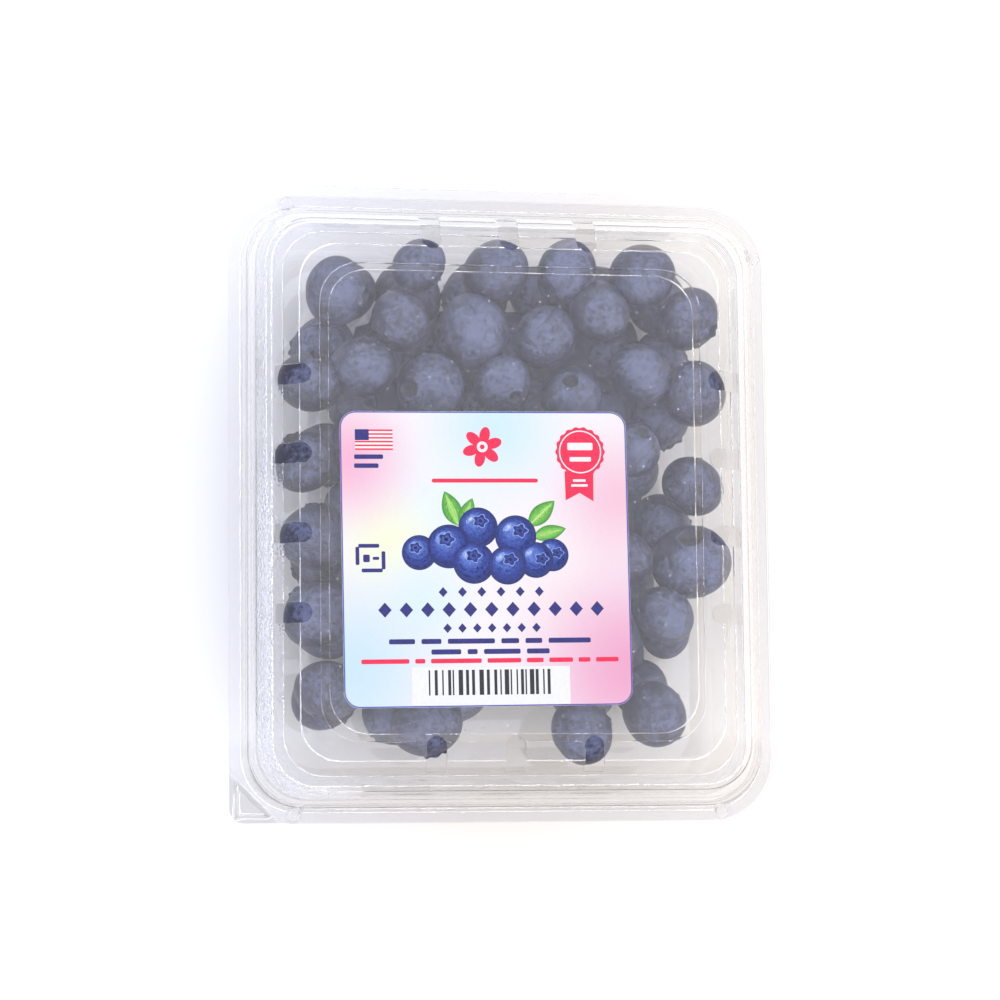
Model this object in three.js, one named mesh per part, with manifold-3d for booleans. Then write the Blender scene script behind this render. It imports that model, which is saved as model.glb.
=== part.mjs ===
// A clear hinged clamshell punnet of blueberries, in millimetres, +Z up.
// The tray stands on z = 0. X runs across the pack and Y along it, with the hinge on the +Y side.
import * as THREE from "three";
import { mergeVertices } from "three/addons/utils/BufferGeometryUtils.js";
import Module from "manifold-3d";

const wasm = await Module();
wasm.setup();

// Driving dimensions of the pack.
const PACK_WIDTH = 112;
const PACK_LENGTH = 127.5;
const TRAY_DEPTH = 19;
const LID_RISE = 13.6;
const SHEET = 0.6;
const SEAM = 0.3;
const RIM_RADIUS = 13;
const INNER_RADIUS = 8;
const RADIUS_FADE = 9;
const Y_INSET_SHARE = 0.93;
const CORNER_STEPS = 4;

// Upright flutes that stiffen the tray's walls: their centres along the walls and their shape.
const FLUTE_DEPTH = 0.8;
const FLUTE_WIDTH = 10;
const FLUTE_RAMP = 1.6;
const FLUTES_ON_X_WALLS = [-18, 0, 18];
const FLUTES_ON_Y_WALLS = [-27, -9, 9, 27];

// Hinge, opening tab, snap lugs and vents.
const HINGE_LENGTH = 92;
const HINGE_REACH = 3;
const HINGE_FOLD_GAP = 0.2;
const TAB_RADIUS = 3;
const TAB_LEG = 17;
const TAB_EMBOSS = 1;
const TAB_EDGE = 1.2;
const TAB_TRIANGLE_LEG = 7.7;
const LID_TRIM_LEG = 10.8;
const LUG_RADIUS = 1.5;
const LUG_HEIGHT = 0.9;
const LUG_INSET = 1.8;
const VENT_WIDTH = 4;
const VENT_OUTER_INSET = 8.3;
const VENT_INNER_INSET = 15.3;
const SIDE_VENT_PITCH = 15.9;
const SIDE_VENTS = 4;
const SIDE_VENT_SHIFT = 1.5;
const END_VENT_PITCH = 16;
const END_VENTS = 3;
const END_VENT_SHIFT = 2.2;

// Label on the lid's panel.
const LABEL_WIDTH = 58.3;
const LABEL_LENGTH = 59.1;
const LABEL_RADIUS = 3.2;
const LABEL_THICKNESS = 0.2;
const LABEL_CENTRE = [-5.8, -11.5];
const LABEL_TURN_DEG = 0.7;

// The heap of berries.
const SEED = 20;
const BERRY_SMALL = 11.6;
const BERRY_LARGE = 15.4;
const BERRY_SQUASH = 0.86;
const BERRY_SIDES = 7;
const BERRY_ROWS = 5;
const FACET_SWELL = 1.05;
const CONTACT_SHARE = 0.95;
const FLOOR_RAISE = 0.8;
const FLOOR_TOP = SHEET + FLOOR_RAISE + SEAM * 2;
const LOWER_PITCH = 13.3;
const LOWER_ROW_PITCH = 11.6;
const LOWER_COLUMNS = 7;
const LOWER_ROWS = 9;
const LOWER_HALF_WIDTH = 43;
const LOWER_HALF_LENGTH = 53;
const HEAP_TOP = 26.8;
const FILLER_PITCH = 13.2;
const FILLER_SPACE = 0.93;

// Berries of the upper layer round the label: centre x, centre y, diameter.
const UPPER_BERRIES = [
  [-17.1, 49.9, 11.5],
  [-0.9, 49.4, 14.3],
  [14.0, 49.4, 13.9],
  [30.0, 48.8, 13.9],
  [-34.0, 44.2, 14.3],
  [39.8, 40.0, 13.5],
  [40.8, 24.3, 13.9],
  [40.2, 5.1, 13.5],
  [40.4, -10.6, 16.4],
  [33.4, -21.7, 12.7],
  [31.0, -36.0, 12.0],
  [31.4, -42.0, 13.9],
  [16.2, -45.6, 13.7],
  [-16.0, -43.8, 14.8],
  [-36.1, -37.0, 13.5],
  [-37.8, -21.7, 15.1],
  [-38.2, -6.3, 15.1],
  [-40.6, 9.0, 13.5],
  [-39.4, 25.4, 13.5],
  [-28.6, 28.6, 13.5],
  [-14.6, 24.6, 14.6],
  [-20.8, 38.2, 13.1],
  [-5.4, 36.6, 16.5],
  [9.3, 35.6, 13.5],
  [20.8, 41.2, 12.9],
  [29.4, 28.2, 13.5],
  [14.6, 23.4, 12.5],
  [0.2, 25.6, 12.2],
];

// Bare spots of the tray's floor: centre x, centre y, radius.
const BARE_SPOTS = [
  [44, -34, 8],
  [44, -50, 10],
  [4, -48, 11],
  [3, -35, 5],
  [24, -47, 6],
  [31, -34, 6],
  [-16.5, -46.5, 5],
  [-35, -49, 12],
  [-43, 54, 9],
  [44, 55, 9],
];

const lidBase = TRAY_DEPTH + SEAM;

// Section of the lid's outer face: inset from the rim, height above the flange's underside.
const LID_SECTION = [
  [0, SHEET],
  [2.6, SHEET],
  [3.3, 4.6],
  [4.2, 5.6],
  [4.9, 6.1],
  [6.6, 9.2],
  [7.7, 10],
  [9.9, 10.1],
  [12.9, 12.8],
  [17, 12.8],
  [18.6, LID_RISE],
];

// Section of the tray's inner face: inset from the rim, height, share of the flute depth.
const TRAY_SECTION = [
  [0.2, TRAY_DEPTH, 0],
  [3.7, TRAY_DEPTH, 0],
  [4.1, TRAY_DEPTH + 1.7, 0],
  [6.1, TRAY_DEPTH + 1.7, 0],
  [6.6, TRAY_DEPTH - 1, 0],
  [7.2, TRAY_DEPTH - 3, 1],
  [8.9, 5, 1],
  [10.2, 1.7, 0],
  [12.6, SHEET, 0],
  [17, SHEET, 0],
  [18.4, SHEET + FLOOR_RAISE, 0],
];

// Turns a closed geometry into a manifold solid.
function solidOf(geometry) {
  const bare = geometry.clone();
  bare.deleteAttribute("normal");
  bare.deleteAttribute("uv");
  const merged = mergeVertices(bare, 1e-4);
  return new wasm.Manifold(
    new wasm.Mesh({
      numProp: 3,
      vertProperties: merged.attributes.position.array,
      triVerts: new Uint32Array(merged.index.array),
    }),
  );
}

// Turns a manifold solid back into a geometry.
function geometryOf(solid) {
  const mesh = solid.getMesh();
  const geometry = new THREE.BufferGeometry();
  geometry.setAttribute("position", new THREE.BufferAttribute(mesh.vertProperties, 3));
  geometry.setIndex(new THREE.BufferAttribute(mesh.triVerts, 1));
  return geometry;
}

// Random numbers from 0 to 1 that are the same on every run.
function seededRandom(seed) {
  let state = seed;
  return () => {
    state = (state * 1664525 + 1013904223) % 4294967296;
    return state / 4294967296;
  };
}

// The places along one straight wall where its outline has points, each with its share of the flute depth.
function flutePoints(centres) {
  const half = FLUTE_WIDTH / 2;
  return centres.flatMap((centre) => [
    [centre - half, 0],
    [centre - half + FLUTE_RAMP, 1],
    [centre + half - FLUTE_RAMP, 1],
    [centre + half, 0],
  ]);
}

// Corner radius at an inset from the rim: it falls from the rim's radius to the inner one.
function cornerRadius(inset) {
  const share = Math.min(inset / RADIUS_FADE, 1);
  return RIM_RADIUS + (INNER_RADIUS - RIM_RADIUS) * share;
}

// One level rounded rectangle of the pack, anticlockwise from above, as [x, y, z] points.
function ring(inset, z, flute, fluted) {
  const halfX = PACK_WIDTH / 2 - inset;
  const halfY = PACK_LENGTH / 2 - inset * Y_INSET_SHARE;
  const radius = cornerRadius(inset);
  const points = [];
  for (let side = 0; side < 4; side++) {
    const turn = (side * Math.PI) / 2;
    const alongX = side % 2 === 1;
    const out = alongX ? halfY : halfX;
    const reach = alongX ? halfX : halfY;
    const places = fluted ? flutePoints(alongX ? FLUTES_ON_X_WALLS : FLUTES_ON_Y_WALLS) : [];
    const local = places.map(([along, share]) => [out - share * flute * FLUTE_DEPTH, along]);
    for (let step = 0; step <= CORNER_STEPS; step++) {
      const angle = (step / CORNER_STEPS) * (Math.PI / 2);
      local.push([
        out - radius + radius * Math.cos(angle),
        reach - radius + radius * Math.sin(angle),
      ]);
    }
    for (const [x, y] of local) {
      points.push([
        x * Math.cos(turn) - y * Math.sin(turn),
        x * Math.sin(turn) + y * Math.cos(turn),
        z,
      ]);
    }
  }
  return points;
}

// The other face of a sheet: each section point moved by the sheet's thickness, square to the section.
function otherFace(section, thickness) {
  const normals = section.slice(1).map(([x1, z1], index) => {
    const [x0, z0] = section[index];
    const length = Math.hypot(x1 - x0, z1 - z0);
    return [(z1 - z0) / length, -(x1 - x0) / length];
  });
  return section.map(([x, z, flute], index) => {
    const before = normals[Math.max(index - 1, 0)];
    const after = normals[Math.min(index, normals.length - 1)];
    const sum = [before[0] + after[0], before[1] + after[1]];
    const scale = (2 * thickness) / (sum[0] ** 2 + sum[1] ** 2);
    return [x + sum[0] * scale, z + sum[1] * scale, flute];
  });
}

// A closed solid through a stack of rings, with a flat fan at each end.
function loft(rings) {
  const count = rings[0].length;
  const positions = rings.flat(2);
  const index = [];
  for (let level = 0; level + 1 < rings.length; level++) {
    for (let here = 0; here < count; here++) {
      const next = (here + 1) % count;
      const a = level * count + here;
      const b = level * count + next;
      index.push(a, b, a + count, b, b + count, a + count);
    }
  }
  const fan = (level, reversed) => {
    const centre = positions.length / 3;
    positions.push(0, 0, rings[level][0][2]);
    for (let here = 0; here < count; here++) {
      const a = level * count + here;
      const b = level * count + ((here + 1) % count);
      index.push(centre, reversed ? b : a, reversed ? a : b);
    }
  };
  fan(0, true);
  fan(rings.length - 1, false);
  const geometry = new THREE.BufferGeometry();
  geometry.setAttribute("position", new THREE.Float32BufferAttribute(positions, 3));
  geometry.setIndex(index);
  return geometry;
}

// A formed sheet with this section on its upper face, carried round the pack.
function formedSheet(section, base, fluted) {
  const lower = otherFace(section, SHEET).reverse();
  const rings = [...lower, ...section];
  return solidOf(loft(rings.map(([inset, z, flute]) => ring(inset, base + z, flute ?? 0, fluted))));
}

// An upright prism of a flat outline between two heights.
function prism(shape, bottom, top, curveSegments = 4) {
  const geometry = new THREE.ExtrudeGeometry(shape, {
    depth: top - bottom,
    bevelEnabled: false,
    curveSegments,
  });
  geometry.translate(0, 0, bottom);
  return geometry;
}

// A rounded rectangle centred on the origin.
function roundedRectangle(width, length, radius) {
  const x = width / 2;
  const y = length / 2;
  const shape = new THREE.Shape();
  shape.moveTo(-x + radius, -y);
  shape.lineTo(x - radius, -y);
  shape.absarc(x - radius, -y + radius, radius, -Math.PI / 2, 0);
  shape.lineTo(x, y - radius);
  shape.absarc(x - radius, y - radius, radius, 0, Math.PI / 2);
  shape.lineTo(-x + radius, y);
  shape.absarc(-x + radius, y - radius, radius, Math.PI / 2, Math.PI);
  shape.lineTo(-x, -y + radius);
  shape.absarc(-x + radius, -y + radius, radius, Math.PI, Math.PI * 1.5);
  return shape;
}

// Half of the living hinge: a strip that runs from a flange out to the fold line.
function hingeHalf(bottom) {
  const rim = PACK_LENGTH / 2;
  const root = rim - 1;
  const strip = new THREE.BoxGeometry(HINGE_LENGTH, rim + HINGE_REACH - HINGE_FOLD_GAP - root, SHEET);
  strip.translate(0, (root + rim + HINGE_REACH - HINGE_FOLD_GAP) / 2, bottom + SHEET / 2);
  return solidOf(strip);
}

// The square corner of the tray's flange, which a thumb lifts the lid from, with its raised triangle.
function openingTab() {
  const x = -PACK_WIDTH / 2;
  const y = -PACK_LENGTH / 2;
  const plate = new THREE.Shape();
  plate.moveTo(x + TAB_LEG, y);
  plate.lineTo(x + TAB_LEG, y + TAB_LEG / 4);
  plate.lineTo(x + TAB_LEG / 4, y + TAB_LEG);
  plate.lineTo(x, y + TAB_LEG);
  plate.lineTo(x, y + TAB_RADIUS);
  plate.absarc(x + TAB_RADIUS, y + TAB_RADIUS, TAB_RADIUS, Math.PI, Math.PI * 1.5);
  const emboss = new THREE.Shape();
  emboss.moveTo(x + TAB_EDGE, y + TAB_EDGE + TAB_TRIANGLE_LEG);
  emboss.lineTo(x + TAB_EDGE, y + TAB_EDGE * 2);
  emboss.absarc(x + TAB_EDGE * 2, y + TAB_EDGE * 2, TAB_EDGE, Math.PI, Math.PI * 1.5);
  emboss.lineTo(x + TAB_EDGE + TAB_TRIANGLE_LEG, y + TAB_EDGE);
  const bottom = TRAY_DEPTH - SHEET;
  return solidOf(prism(plate, bottom, TRAY_DEPTH)).add(
    solidOf(prism(emboss, bottom + SHEET / 2, TRAY_DEPTH + TAB_EMBOSS)),
  );
}

function trayGeometry() {
  const shell = formedSheet(TRAY_SECTION, 0, true);
  return geometryOf(shell.add(openingTab()).add(hingeHalf(TRAY_DEPTH - SHEET)));
}

// One vent's cutter: a slot with a round inner end, along +X at the origin.
function ventCutter(length) {
  const half = VENT_WIDTH / 2;
  const slot = new THREE.Shape();
  slot.moveTo(0, -half);
  slot.lineTo(length - half, -half);
  slot.absarc(length - half, 0, half, -Math.PI / 2, Math.PI / 2);
  slot.lineTo(0, half);
  return prism(slot, lidBase + SHEET * 2, lidBase + LID_RISE + 1);
}

// Every vent as [x, y, angle of its inward direction].
function ventPlaces() {
  const places = [];
  const spread = (count, pitch) =>
    Array.from({ length: count }, (_, number) => (number - (count - 1) / 2) * pitch);
  const sideX = PACK_WIDTH / 2 - VENT_OUTER_INSET;
  const endY = PACK_LENGTH / 2 - VENT_OUTER_INSET * Y_INSET_SHARE;
  for (const y of spread(SIDE_VENTS, SIDE_VENT_PITCH)) {
    places.push([-sideX, y + SIDE_VENT_SHIFT, 0]);
    places.push([sideX, y + SIDE_VENT_SHIFT, Math.PI]);
  }
  for (const x of spread(END_VENTS, END_VENT_PITCH)) {
    places.push([x, -endY + END_VENT_SHIFT, Math.PI / 2]);
    places.push([x, endY + END_VENT_SHIFT, -Math.PI / 2]);
  }
  return places;
}

// The four small, flat snap lugs on the lid's flange: [x, y].
function lugPlaces() {
  const x = PACK_WIDTH / 2 - LUG_INSET;
  const y = PACK_LENGTH / 2 - LUG_INSET;
  return [
    [-44, y],
    [x - 0.4, 53],
    [45, -y],
    [-43, -y],
  ];
}

function lug([x, y]) {
  const dome = new THREE.SphereGeometry(LUG_RADIUS, 8, 6);
  dome.scale(1, 1, LUG_HEIGHT / LUG_RADIUS);
  dome.translate(x, y, lidBase + SHEET);
  return solidOf(dome);
}

// The corner that is trimmed off the lid's flange over the opening tab.
function flangeTrim() {
  const x = -PACK_WIDTH / 2;
  const y = -PACK_LENGTH / 2;
  const corner = new THREE.Shape();
  corner.moveTo(x - 1, y - 1);
  corner.lineTo(x + LID_TRIM_LEG + 1, y - 1);
  corner.lineTo(x - 1, y + LID_TRIM_LEG + 1);
  return solidOf(prism(corner, lidBase - 1, lidBase + SHEET + 1));
}

function lidGeometry() {
  let lid = formedSheet(LID_SECTION, lidBase, false).subtract(flangeTrim()).add(hingeHalf(lidBase));
  const floorCut = new THREE.BoxGeometry(PACK_WIDTH, PACK_LENGTH, LUG_HEIGHT * 2);
  floorCut.translate(0, 0, lidBase - LUG_HEIGHT);
  const below = solidOf(floorCut);
  for (const place of lugPlaces()) {
    lid = lid.add(lug(place).subtract(below));
  }
  for (const [x, y, angle] of ventPlaces()) {
    const inset = VENT_INNER_INSET - VENT_OUTER_INSET;
    const cutter = ventCutter(inset);
    cutter.rotateZ(angle);
    cutter.translate(x, y, 0);
    lid = lid.subtract(solidOf(cutter));
  }
  return geometryOf(lid);
}

function labelGeometry() {
  return prism(roundedRectangle(LABEL_WIDTH, LABEL_LENGTH, LABEL_RADIUS), 0, LABEL_THICKNESS);
}

// Half width and half length of the room between the tray's walls at a height, inside the flutes.
function roomAt(z) {
  let low = TRAY_SECTION.length - 1;
  while (low > 4 && TRAY_SECTION[low - 1][1] < z) {
    low -= 1;
  }
  const [inset] = TRAY_SECTION[low];
  const wall = inset + FLUTE_DEPTH + SEAM;
  return [PACK_WIDTH / 2 - wall, PACK_LENGTH / 2 - wall * Y_INSET_SHARE];
}

// Moves a berry inside a rounded room of these half sizes.
function keepInside(berry, halfX, halfY) {
  const reach = berry.radius * FACET_SWELL;
  const spareX = halfX - reach;
  const spareY = halfY - reach;
  berry.x = Math.min(Math.max(berry.x, -spareX), spareX);
  berry.y = Math.min(Math.max(berry.y, -spareY), spareY);
  const overX = Math.abs(berry.x) - (halfX - INNER_RADIUS);
  const overY = Math.abs(berry.y) - (halfY - INNER_RADIUS);
  const far = Math.hypot(overX, overY);
  const room = Math.max(INNER_RADIUS - reach, 0);
  if (overX > 0 && overY > 0 && far > room) {
    berry.x -= Math.sign(berry.x) * overX * (1 - room / far);
    berry.y -= Math.sign(berry.y) * overY * (1 - room / far);
  }
}

// Pushes berries of one layer apart until none overlaps, within the room.
function spreadOut(berries, halfX, halfY) {
  for (let round = 0; round < 60; round++) {
    for (let i = 0; i < berries.length; i++) {
      for (let j = i + 1; j < berries.length; j++) {
        const a = berries[i];
        const b = berries[j];
        const dx = b.x - a.x;
        const dy = b.y - a.y;
        const gap = Math.hypot(dx, dy);
        const over = (a.radius + b.radius) * CONTACT_SHARE - gap;
        if (over > 0) {
          a.x -= (dx / gap) * over * 0.5;
          a.y -= (dy / gap) * over * 0.5;
          b.x += (dx / gap) * over * 0.5;
          b.y += (dy / gap) * over * 0.5;
        }
      }
    }
    berries.forEach((berry) => keepInside(berry, halfX, halfY));
  }
}

// The lower layer: rows of jittered berries on the tray's floor, with the bare spots left open.
function lowerLayer(random) {
  const berries = [];
  for (let row = 0; row < LOWER_ROWS; row++) {
    for (let column = 0; column < LOWER_COLUMNS; column++) {
      const stagger = row % 2 === 0 ? -0.25 : 0.25;
      const radius = (BERRY_SMALL + (BERRY_LARGE - BERRY_SMALL) * random()) / 2;
      const x = (column - (LOWER_COLUMNS - 1) / 2 + stagger) * LOWER_PITCH + random() * 2 - 1;
      const y = (row - (LOWER_ROWS - 1) / 2) * LOWER_ROW_PITCH + random() * 2 - 1;
      const bare = BARE_SPOTS.some(([sx, sy, size]) => Math.hypot(x - sx, y - sy) < size);
      const inside = Math.abs(x) < LOWER_HALF_WIDTH && Math.abs(y) < LOWER_HALF_LENGTH;
      if (!bare && inside) {
        berries.push({ x, y, z: FLOOR_TOP + radius, radius });
      }
    }
  }
  spreadOut(berries, LOWER_HALF_WIDTH, LOWER_HALF_LENGTH);
  return berries;
}

// The upper layer: the berries round the label, and fillers wherever there is space between them.
function upperLayer(random) {
  const berries = UPPER_BERRIES.map(([x, y, size]) => ({ x, y, z: 0, radius: size / 2 }));
  for (let row = -3; row <= 3; row++) {
    for (let column = -3; column <= 3; column++) {
      const radius = (BERRY_SMALL + (BERRY_LARGE - BERRY_SMALL) * random()) / 2;
      const x = (column + (row % 2 === 0 ? 0 : 0.5)) * FILLER_PITCH + random() * 2 - 1;
      const y = row * FILLER_PITCH * 0.87 - 10 + random() * 2 - 1;
      const free = berries.every(
        (other) => Math.hypot(x - other.x, y - other.y) > (radius + other.radius) * FILLER_SPACE,
      );
      if (free && Math.abs(x) < 36 && Math.abs(y) < 44) {
        berries.push({ x, y, z: 0, radius });
      }
    }
  }
  return berries;
}

// Lowers a berry onto the ones that are already in place.
function dropOnto(berry, placed) {
  let z = FLOOR_TOP + berry.radius;
  for (const other of placed) {
    const across = Math.hypot(berry.x - other.x, berry.y - other.y);
    const reach = (berry.radius + other.radius) * CONTACT_SHARE;
    if (across < reach) {
      z = Math.max(z, other.z + Math.sqrt(reach ** 2 - across ** 2));
    }
  }
  berry.z = Math.min(z, HEAP_TOP - berry.radius);
}

// Every berry of the heap: centre, radius and how it is turned.
function heapBerries() {
  const random = seededRandom(SEED);
  const placed = lowerLayer(random);
  for (const berry of upperLayer(random)) {
    const [halfX, halfY] = roomAt(TRAY_DEPTH - 1);
    keepInside(berry, halfX, halfY);
    dropOnto(berry, placed);
    placed.push(berry);
  }
  for (const berry of placed) {
    berry.turn = [random() * Math.PI, random() * Math.PI, random() * Math.PI * 2];
  }
  return placed;
}

// One berry: a squashed ball of few sides, dimpled at its crown end.
function berrySolid({ x, y, z, radius, turn }) {
  const ball = new THREE.SphereGeometry(radius * FACET_SWELL, BERRY_SIDES, BERRY_ROWS);
  const points = ball.attributes.position;
  for (let i = 0; i < points.count; i++) {
    const height = points.getY(i);
    const crown = height > radius * 0.99 ? 0.72 : 1;
    points.setY(i, height * BERRY_SQUASH * crown);
  }
  ball.rotateX(turn[0]);
  ball.rotateY(turn[1]);
  ball.rotateZ(turn[2]);
  ball.translate(x, y, z);
  return solidOf(ball);
}

// The middle of the heap, which ties the berries into one body.
function heapCore() {
  const level = (halfX, halfY, z) =>
    roundedRectangle(halfX * 2, halfY * 2, 10)
      .getPoints(3)
      .slice(0, -1)
      .map((point) => [point.x, point.y, z]);
  return solidOf(loft([level(30, 41, 4.5), level(37, 48, 9), level(37, 48, 15.5), level(34, 45, 17)]));
}

function heapGeometry() {
  let heap = heapCore();
  for (const berry of heapBerries()) {
    heap = heap.add(berrySolid(berry));
  }
  const bodies = heap.decompose().sort((a, b) => b.volume() - a.volume());
  return geometryOf(bodies[0]);
}

function named(name, geometry, color, roughness, opacity = 1) {
  const material = new THREE.MeshStandardMaterial({
    color,
    roughness,
    metalness: 0,
    opacity,
    transparent: opacity < 1,
  });
  const mesh = new THREE.Mesh(geometry, material);
  mesh.name = name;
  return mesh;
}

// The pack is centred on its whole length, hinge included.
const punnet = new THREE.Group();
punnet.position.set(0, -(HINGE_REACH - HINGE_FOLD_GAP) / 2, 0);

punnet.add(named("tray", trayGeometry(), "#e9edf0", 0.08, 0.35));
punnet.add(named("blueberries", heapGeometry(), "#3c4468", 0.6));

const lidGroup = new THREE.Group();
lidGroup.add(named("lid", lidGeometry(), "#eef1f4", 0.08, 0.35));
const label = named("label", labelGeometry(), "#f6d7e6", 0.35);
label.position.set(LABEL_CENTRE[0], LABEL_CENTRE[1], lidBase + LID_RISE + SEAM);
label.rotation.z = (LABEL_TURN_DEG * Math.PI) / 180;
lidGroup.add(label);
punnet.add(lidGroup);

export default punnet;
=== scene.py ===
"""A clear clamshell punnet of blueberries with one printed label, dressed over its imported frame."""
import math

import bmesh
import bpy
import numpy as np
from mathutils import Matrix, Vector


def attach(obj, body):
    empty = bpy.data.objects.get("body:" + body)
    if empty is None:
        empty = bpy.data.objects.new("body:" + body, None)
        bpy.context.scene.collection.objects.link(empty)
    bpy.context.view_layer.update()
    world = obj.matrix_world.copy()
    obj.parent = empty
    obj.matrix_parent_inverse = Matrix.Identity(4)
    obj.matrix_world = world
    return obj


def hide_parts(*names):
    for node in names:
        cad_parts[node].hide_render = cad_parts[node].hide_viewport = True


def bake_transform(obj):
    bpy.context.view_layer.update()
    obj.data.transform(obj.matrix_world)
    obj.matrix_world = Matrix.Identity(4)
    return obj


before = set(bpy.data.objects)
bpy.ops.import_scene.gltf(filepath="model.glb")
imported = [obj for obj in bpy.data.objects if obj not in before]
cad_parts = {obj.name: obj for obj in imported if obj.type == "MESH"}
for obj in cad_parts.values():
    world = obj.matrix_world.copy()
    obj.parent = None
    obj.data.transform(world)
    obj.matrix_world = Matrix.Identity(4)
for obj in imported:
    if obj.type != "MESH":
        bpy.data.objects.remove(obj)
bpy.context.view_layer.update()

MM = 0.001

# The pack, in millimetres, as its tray and lid are formed.
PACK_WIDTH = 112
PACK_LENGTH = 127.5
TRAY_DEPTH = 19
LID_BASE = 19.3
LID_RISE = 13.6
LID_FLANGE = 0.6
SHEET = 0.36
RIM_RADIUS = 13
INNER_RADIUS = 8
INNERMOST_INSET = 20
RADIUS_FADE = 9
Y_INSET_SHARE = 0.93
HINGE_LENGTH = 92
HINGE_REACH = 3
HINGE_FOLD_GAP = 0.2
HINGE_LAP = 0.1
HINGE_LAND = 1.0
HINGE_HALF_SHEET = 0.13
HINGE_FOLD_STEPS = 12
HINGE_COLUMNS = 24
HINGE_SHADE = 0.08
PACK_SHIFT_Y = -(HINGE_REACH - HINGE_FOLD_GAP) / 2
CORNER_STEPS = 14
LEAD_STEPS = 12
SIDE_STEP = 1.6
FILLET_STEPS = 4
FILLET_GUARD = 0.12
# The most of a straight piece of the section that a fillet takes at one end, alone and with its guard.
FILLET_SHARE = 0.4
GUARDED_SHARE = 0.46
CREASE_DEG = 38

FLUTE_DEPTH = 0.8
FLUTE_WIDTH = 10
FLUTE_EDGE = 1.8
FLUTES_ON_X_WALLS = [-18, 0, 18]
FLUTES_ON_Y_WALLS = [-27, -9, 9, 27]

TAB_RADIUS = 3
TAB_EMBOSS = 0.9
TAB_SLOPE = 0.8
TAB_RINGS = 18
TAB_EDGE = 1.1
TAB_TRIANGLE = 10.0
LID_TRIM = 10.8

LUG_RADIUS = 1.5
LUG_HEIGHT = 0.8
LUG_FROST = 0.35
LUG_FOOT = LID_BASE + LID_FLANGE - 0.1
# Middles of the snap lugs on the lid's flange: one at the back, one on the right, two at the front.
LUG_PLACES = [(-44, 61.95), (53.8, 53), (45, -61.95), (-43, -61.95)]

VENT_WIDTH = 4
VENT_STEPS = 16
VENT_FOOT = 2.4
VENT_OUTER_INSET = 8.3
VENT_INNER_INSET = 15.3
SIDE_VENT_PITCH = 15.9
SIDE_VENTS = 4
SIDE_VENT_SHIFT = 1.5
END_VENT_PITCH = 16
END_VENTS = 3
END_VENT_SHIFT = 2.2

# Outer face of the lid: inset from the rim, height over the flange's underside, fillet radius.
LID_SECTION = [
    (0, LID_FLANGE, 0),
    (2.6, LID_FLANGE, 0.4),
    (3.3, 4.6, 0.5),
    (4.2, 5.6, 0.4),
    (4.9, 6.1, 0.4),
    (6.6, 9.2, 0.5),
    (7.7, 10.0, 0.5),
    (9.9, 10.1, 0.35),
    (12.9, 12.8, 0.45),
    (17, 12.8, 0.4),
    (18.6, LID_RISE, 0.4),
    (INNERMOST_INSET, LID_RISE, 0),
]

# Inner face of the tray: inset from the rim, height, fillet radius, share of the flute depth.
TRAY_SECTION = [
    (3.7, TRAY_DEPTH, 0, 0),
    (4.1, TRAY_DEPTH + 1.7, 0.5, 0),
    (6.1, TRAY_DEPTH + 1.7, 0.5, 0),
    (6.6, TRAY_DEPTH - 1, 0.8, 0),
    (7.2, TRAY_DEPTH - 3, 0.6, 1),
    (8.9, 5, 0.6, 1),
    (10.2, 1.7, 0.9, 0),
    (12.6, 0.6, 0.7, 0),
    (17, 0.6, 0.6, 0),
    (18.4, 1.4, 0.6, 0),
    (INNERMOST_INSET, 1.4, 0, 0),
]
TRAY_FLANGE_EDGE = 0.2

# The heap of berries.
SEED = 20
BERRY_SMALL = 11.6
BERRY_LARGE = 15.4
BERRY_SQUASH = 0.86
FACET_SWELL = 1.05
CONTACT_SHARE = 0.95
SPREAD_ROUNDS = 60
FLOOR_TOP = 2.0
LOWER_PITCH = 13.3
LOWER_ROW_PITCH = 11.6
LOWER_COLUMNS = 7
LOWER_ROWS = 9
LOWER_HALF_WIDTH = 43
LOWER_HALF_LENGTH = 53
HEAP_TOP = 26.8
FILLERS_EACH_WAY = 3
FILLER_PITCH = 13.2
FILLER_ROW_SHARE = 0.87
FILLER_SHIFT_Y = -10
FILLER_HALF_WIDTH = 36
FILLER_HALF_LENGTH = 44
FILLER_SPACE = 0.93
UPPER_INSET = 7.7
UPPER_ROOM = (PACK_WIDTH / 2 - UPPER_INSET, PACK_LENGTH / 2 - UPPER_INSET * Y_INSET_SHARE)

# Berries of the upper layer round the label: centre x, centre y, diameter.
UPPER_BERRIES = [
    (-17.1, 49.9, 11.5),
    (-0.9, 49.4, 14.3),
    (14.0, 49.4, 13.9),
    (30.0, 48.8, 13.9),
    (-34.0, 44.2, 14.3),
    (39.8, 40.0, 13.5),
    (40.8, 24.3, 13.9),
    (40.2, 5.1, 13.5),
    (40.4, -10.6, 16.4),
    (33.4, -21.7, 12.7),
    (31.0, -36.0, 12.0),
    (31.4, -42.0, 13.9),
    (16.2, -45.6, 13.7),
    (-16.0, -43.8, 14.8),
    (-36.1, -37.0, 13.5),
    (-37.8, -21.7, 15.1),
    (-38.2, -6.3, 15.1),
    (-40.6, 9.0, 13.5),
    (-39.4, 25.4, 13.5),
    (-28.6, 28.6, 13.5),
    (-14.6, 24.6, 14.6),
    (-20.8, 38.2, 13.1),
    (-5.4, 36.6, 16.5),
    (9.3, 35.6, 13.5),
    (20.8, 41.2, 12.9),
    (29.4, 28.2, 13.5),
    (14.6, 23.4, 12.5),
    (0.2, 25.6, 12.2),
]

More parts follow.
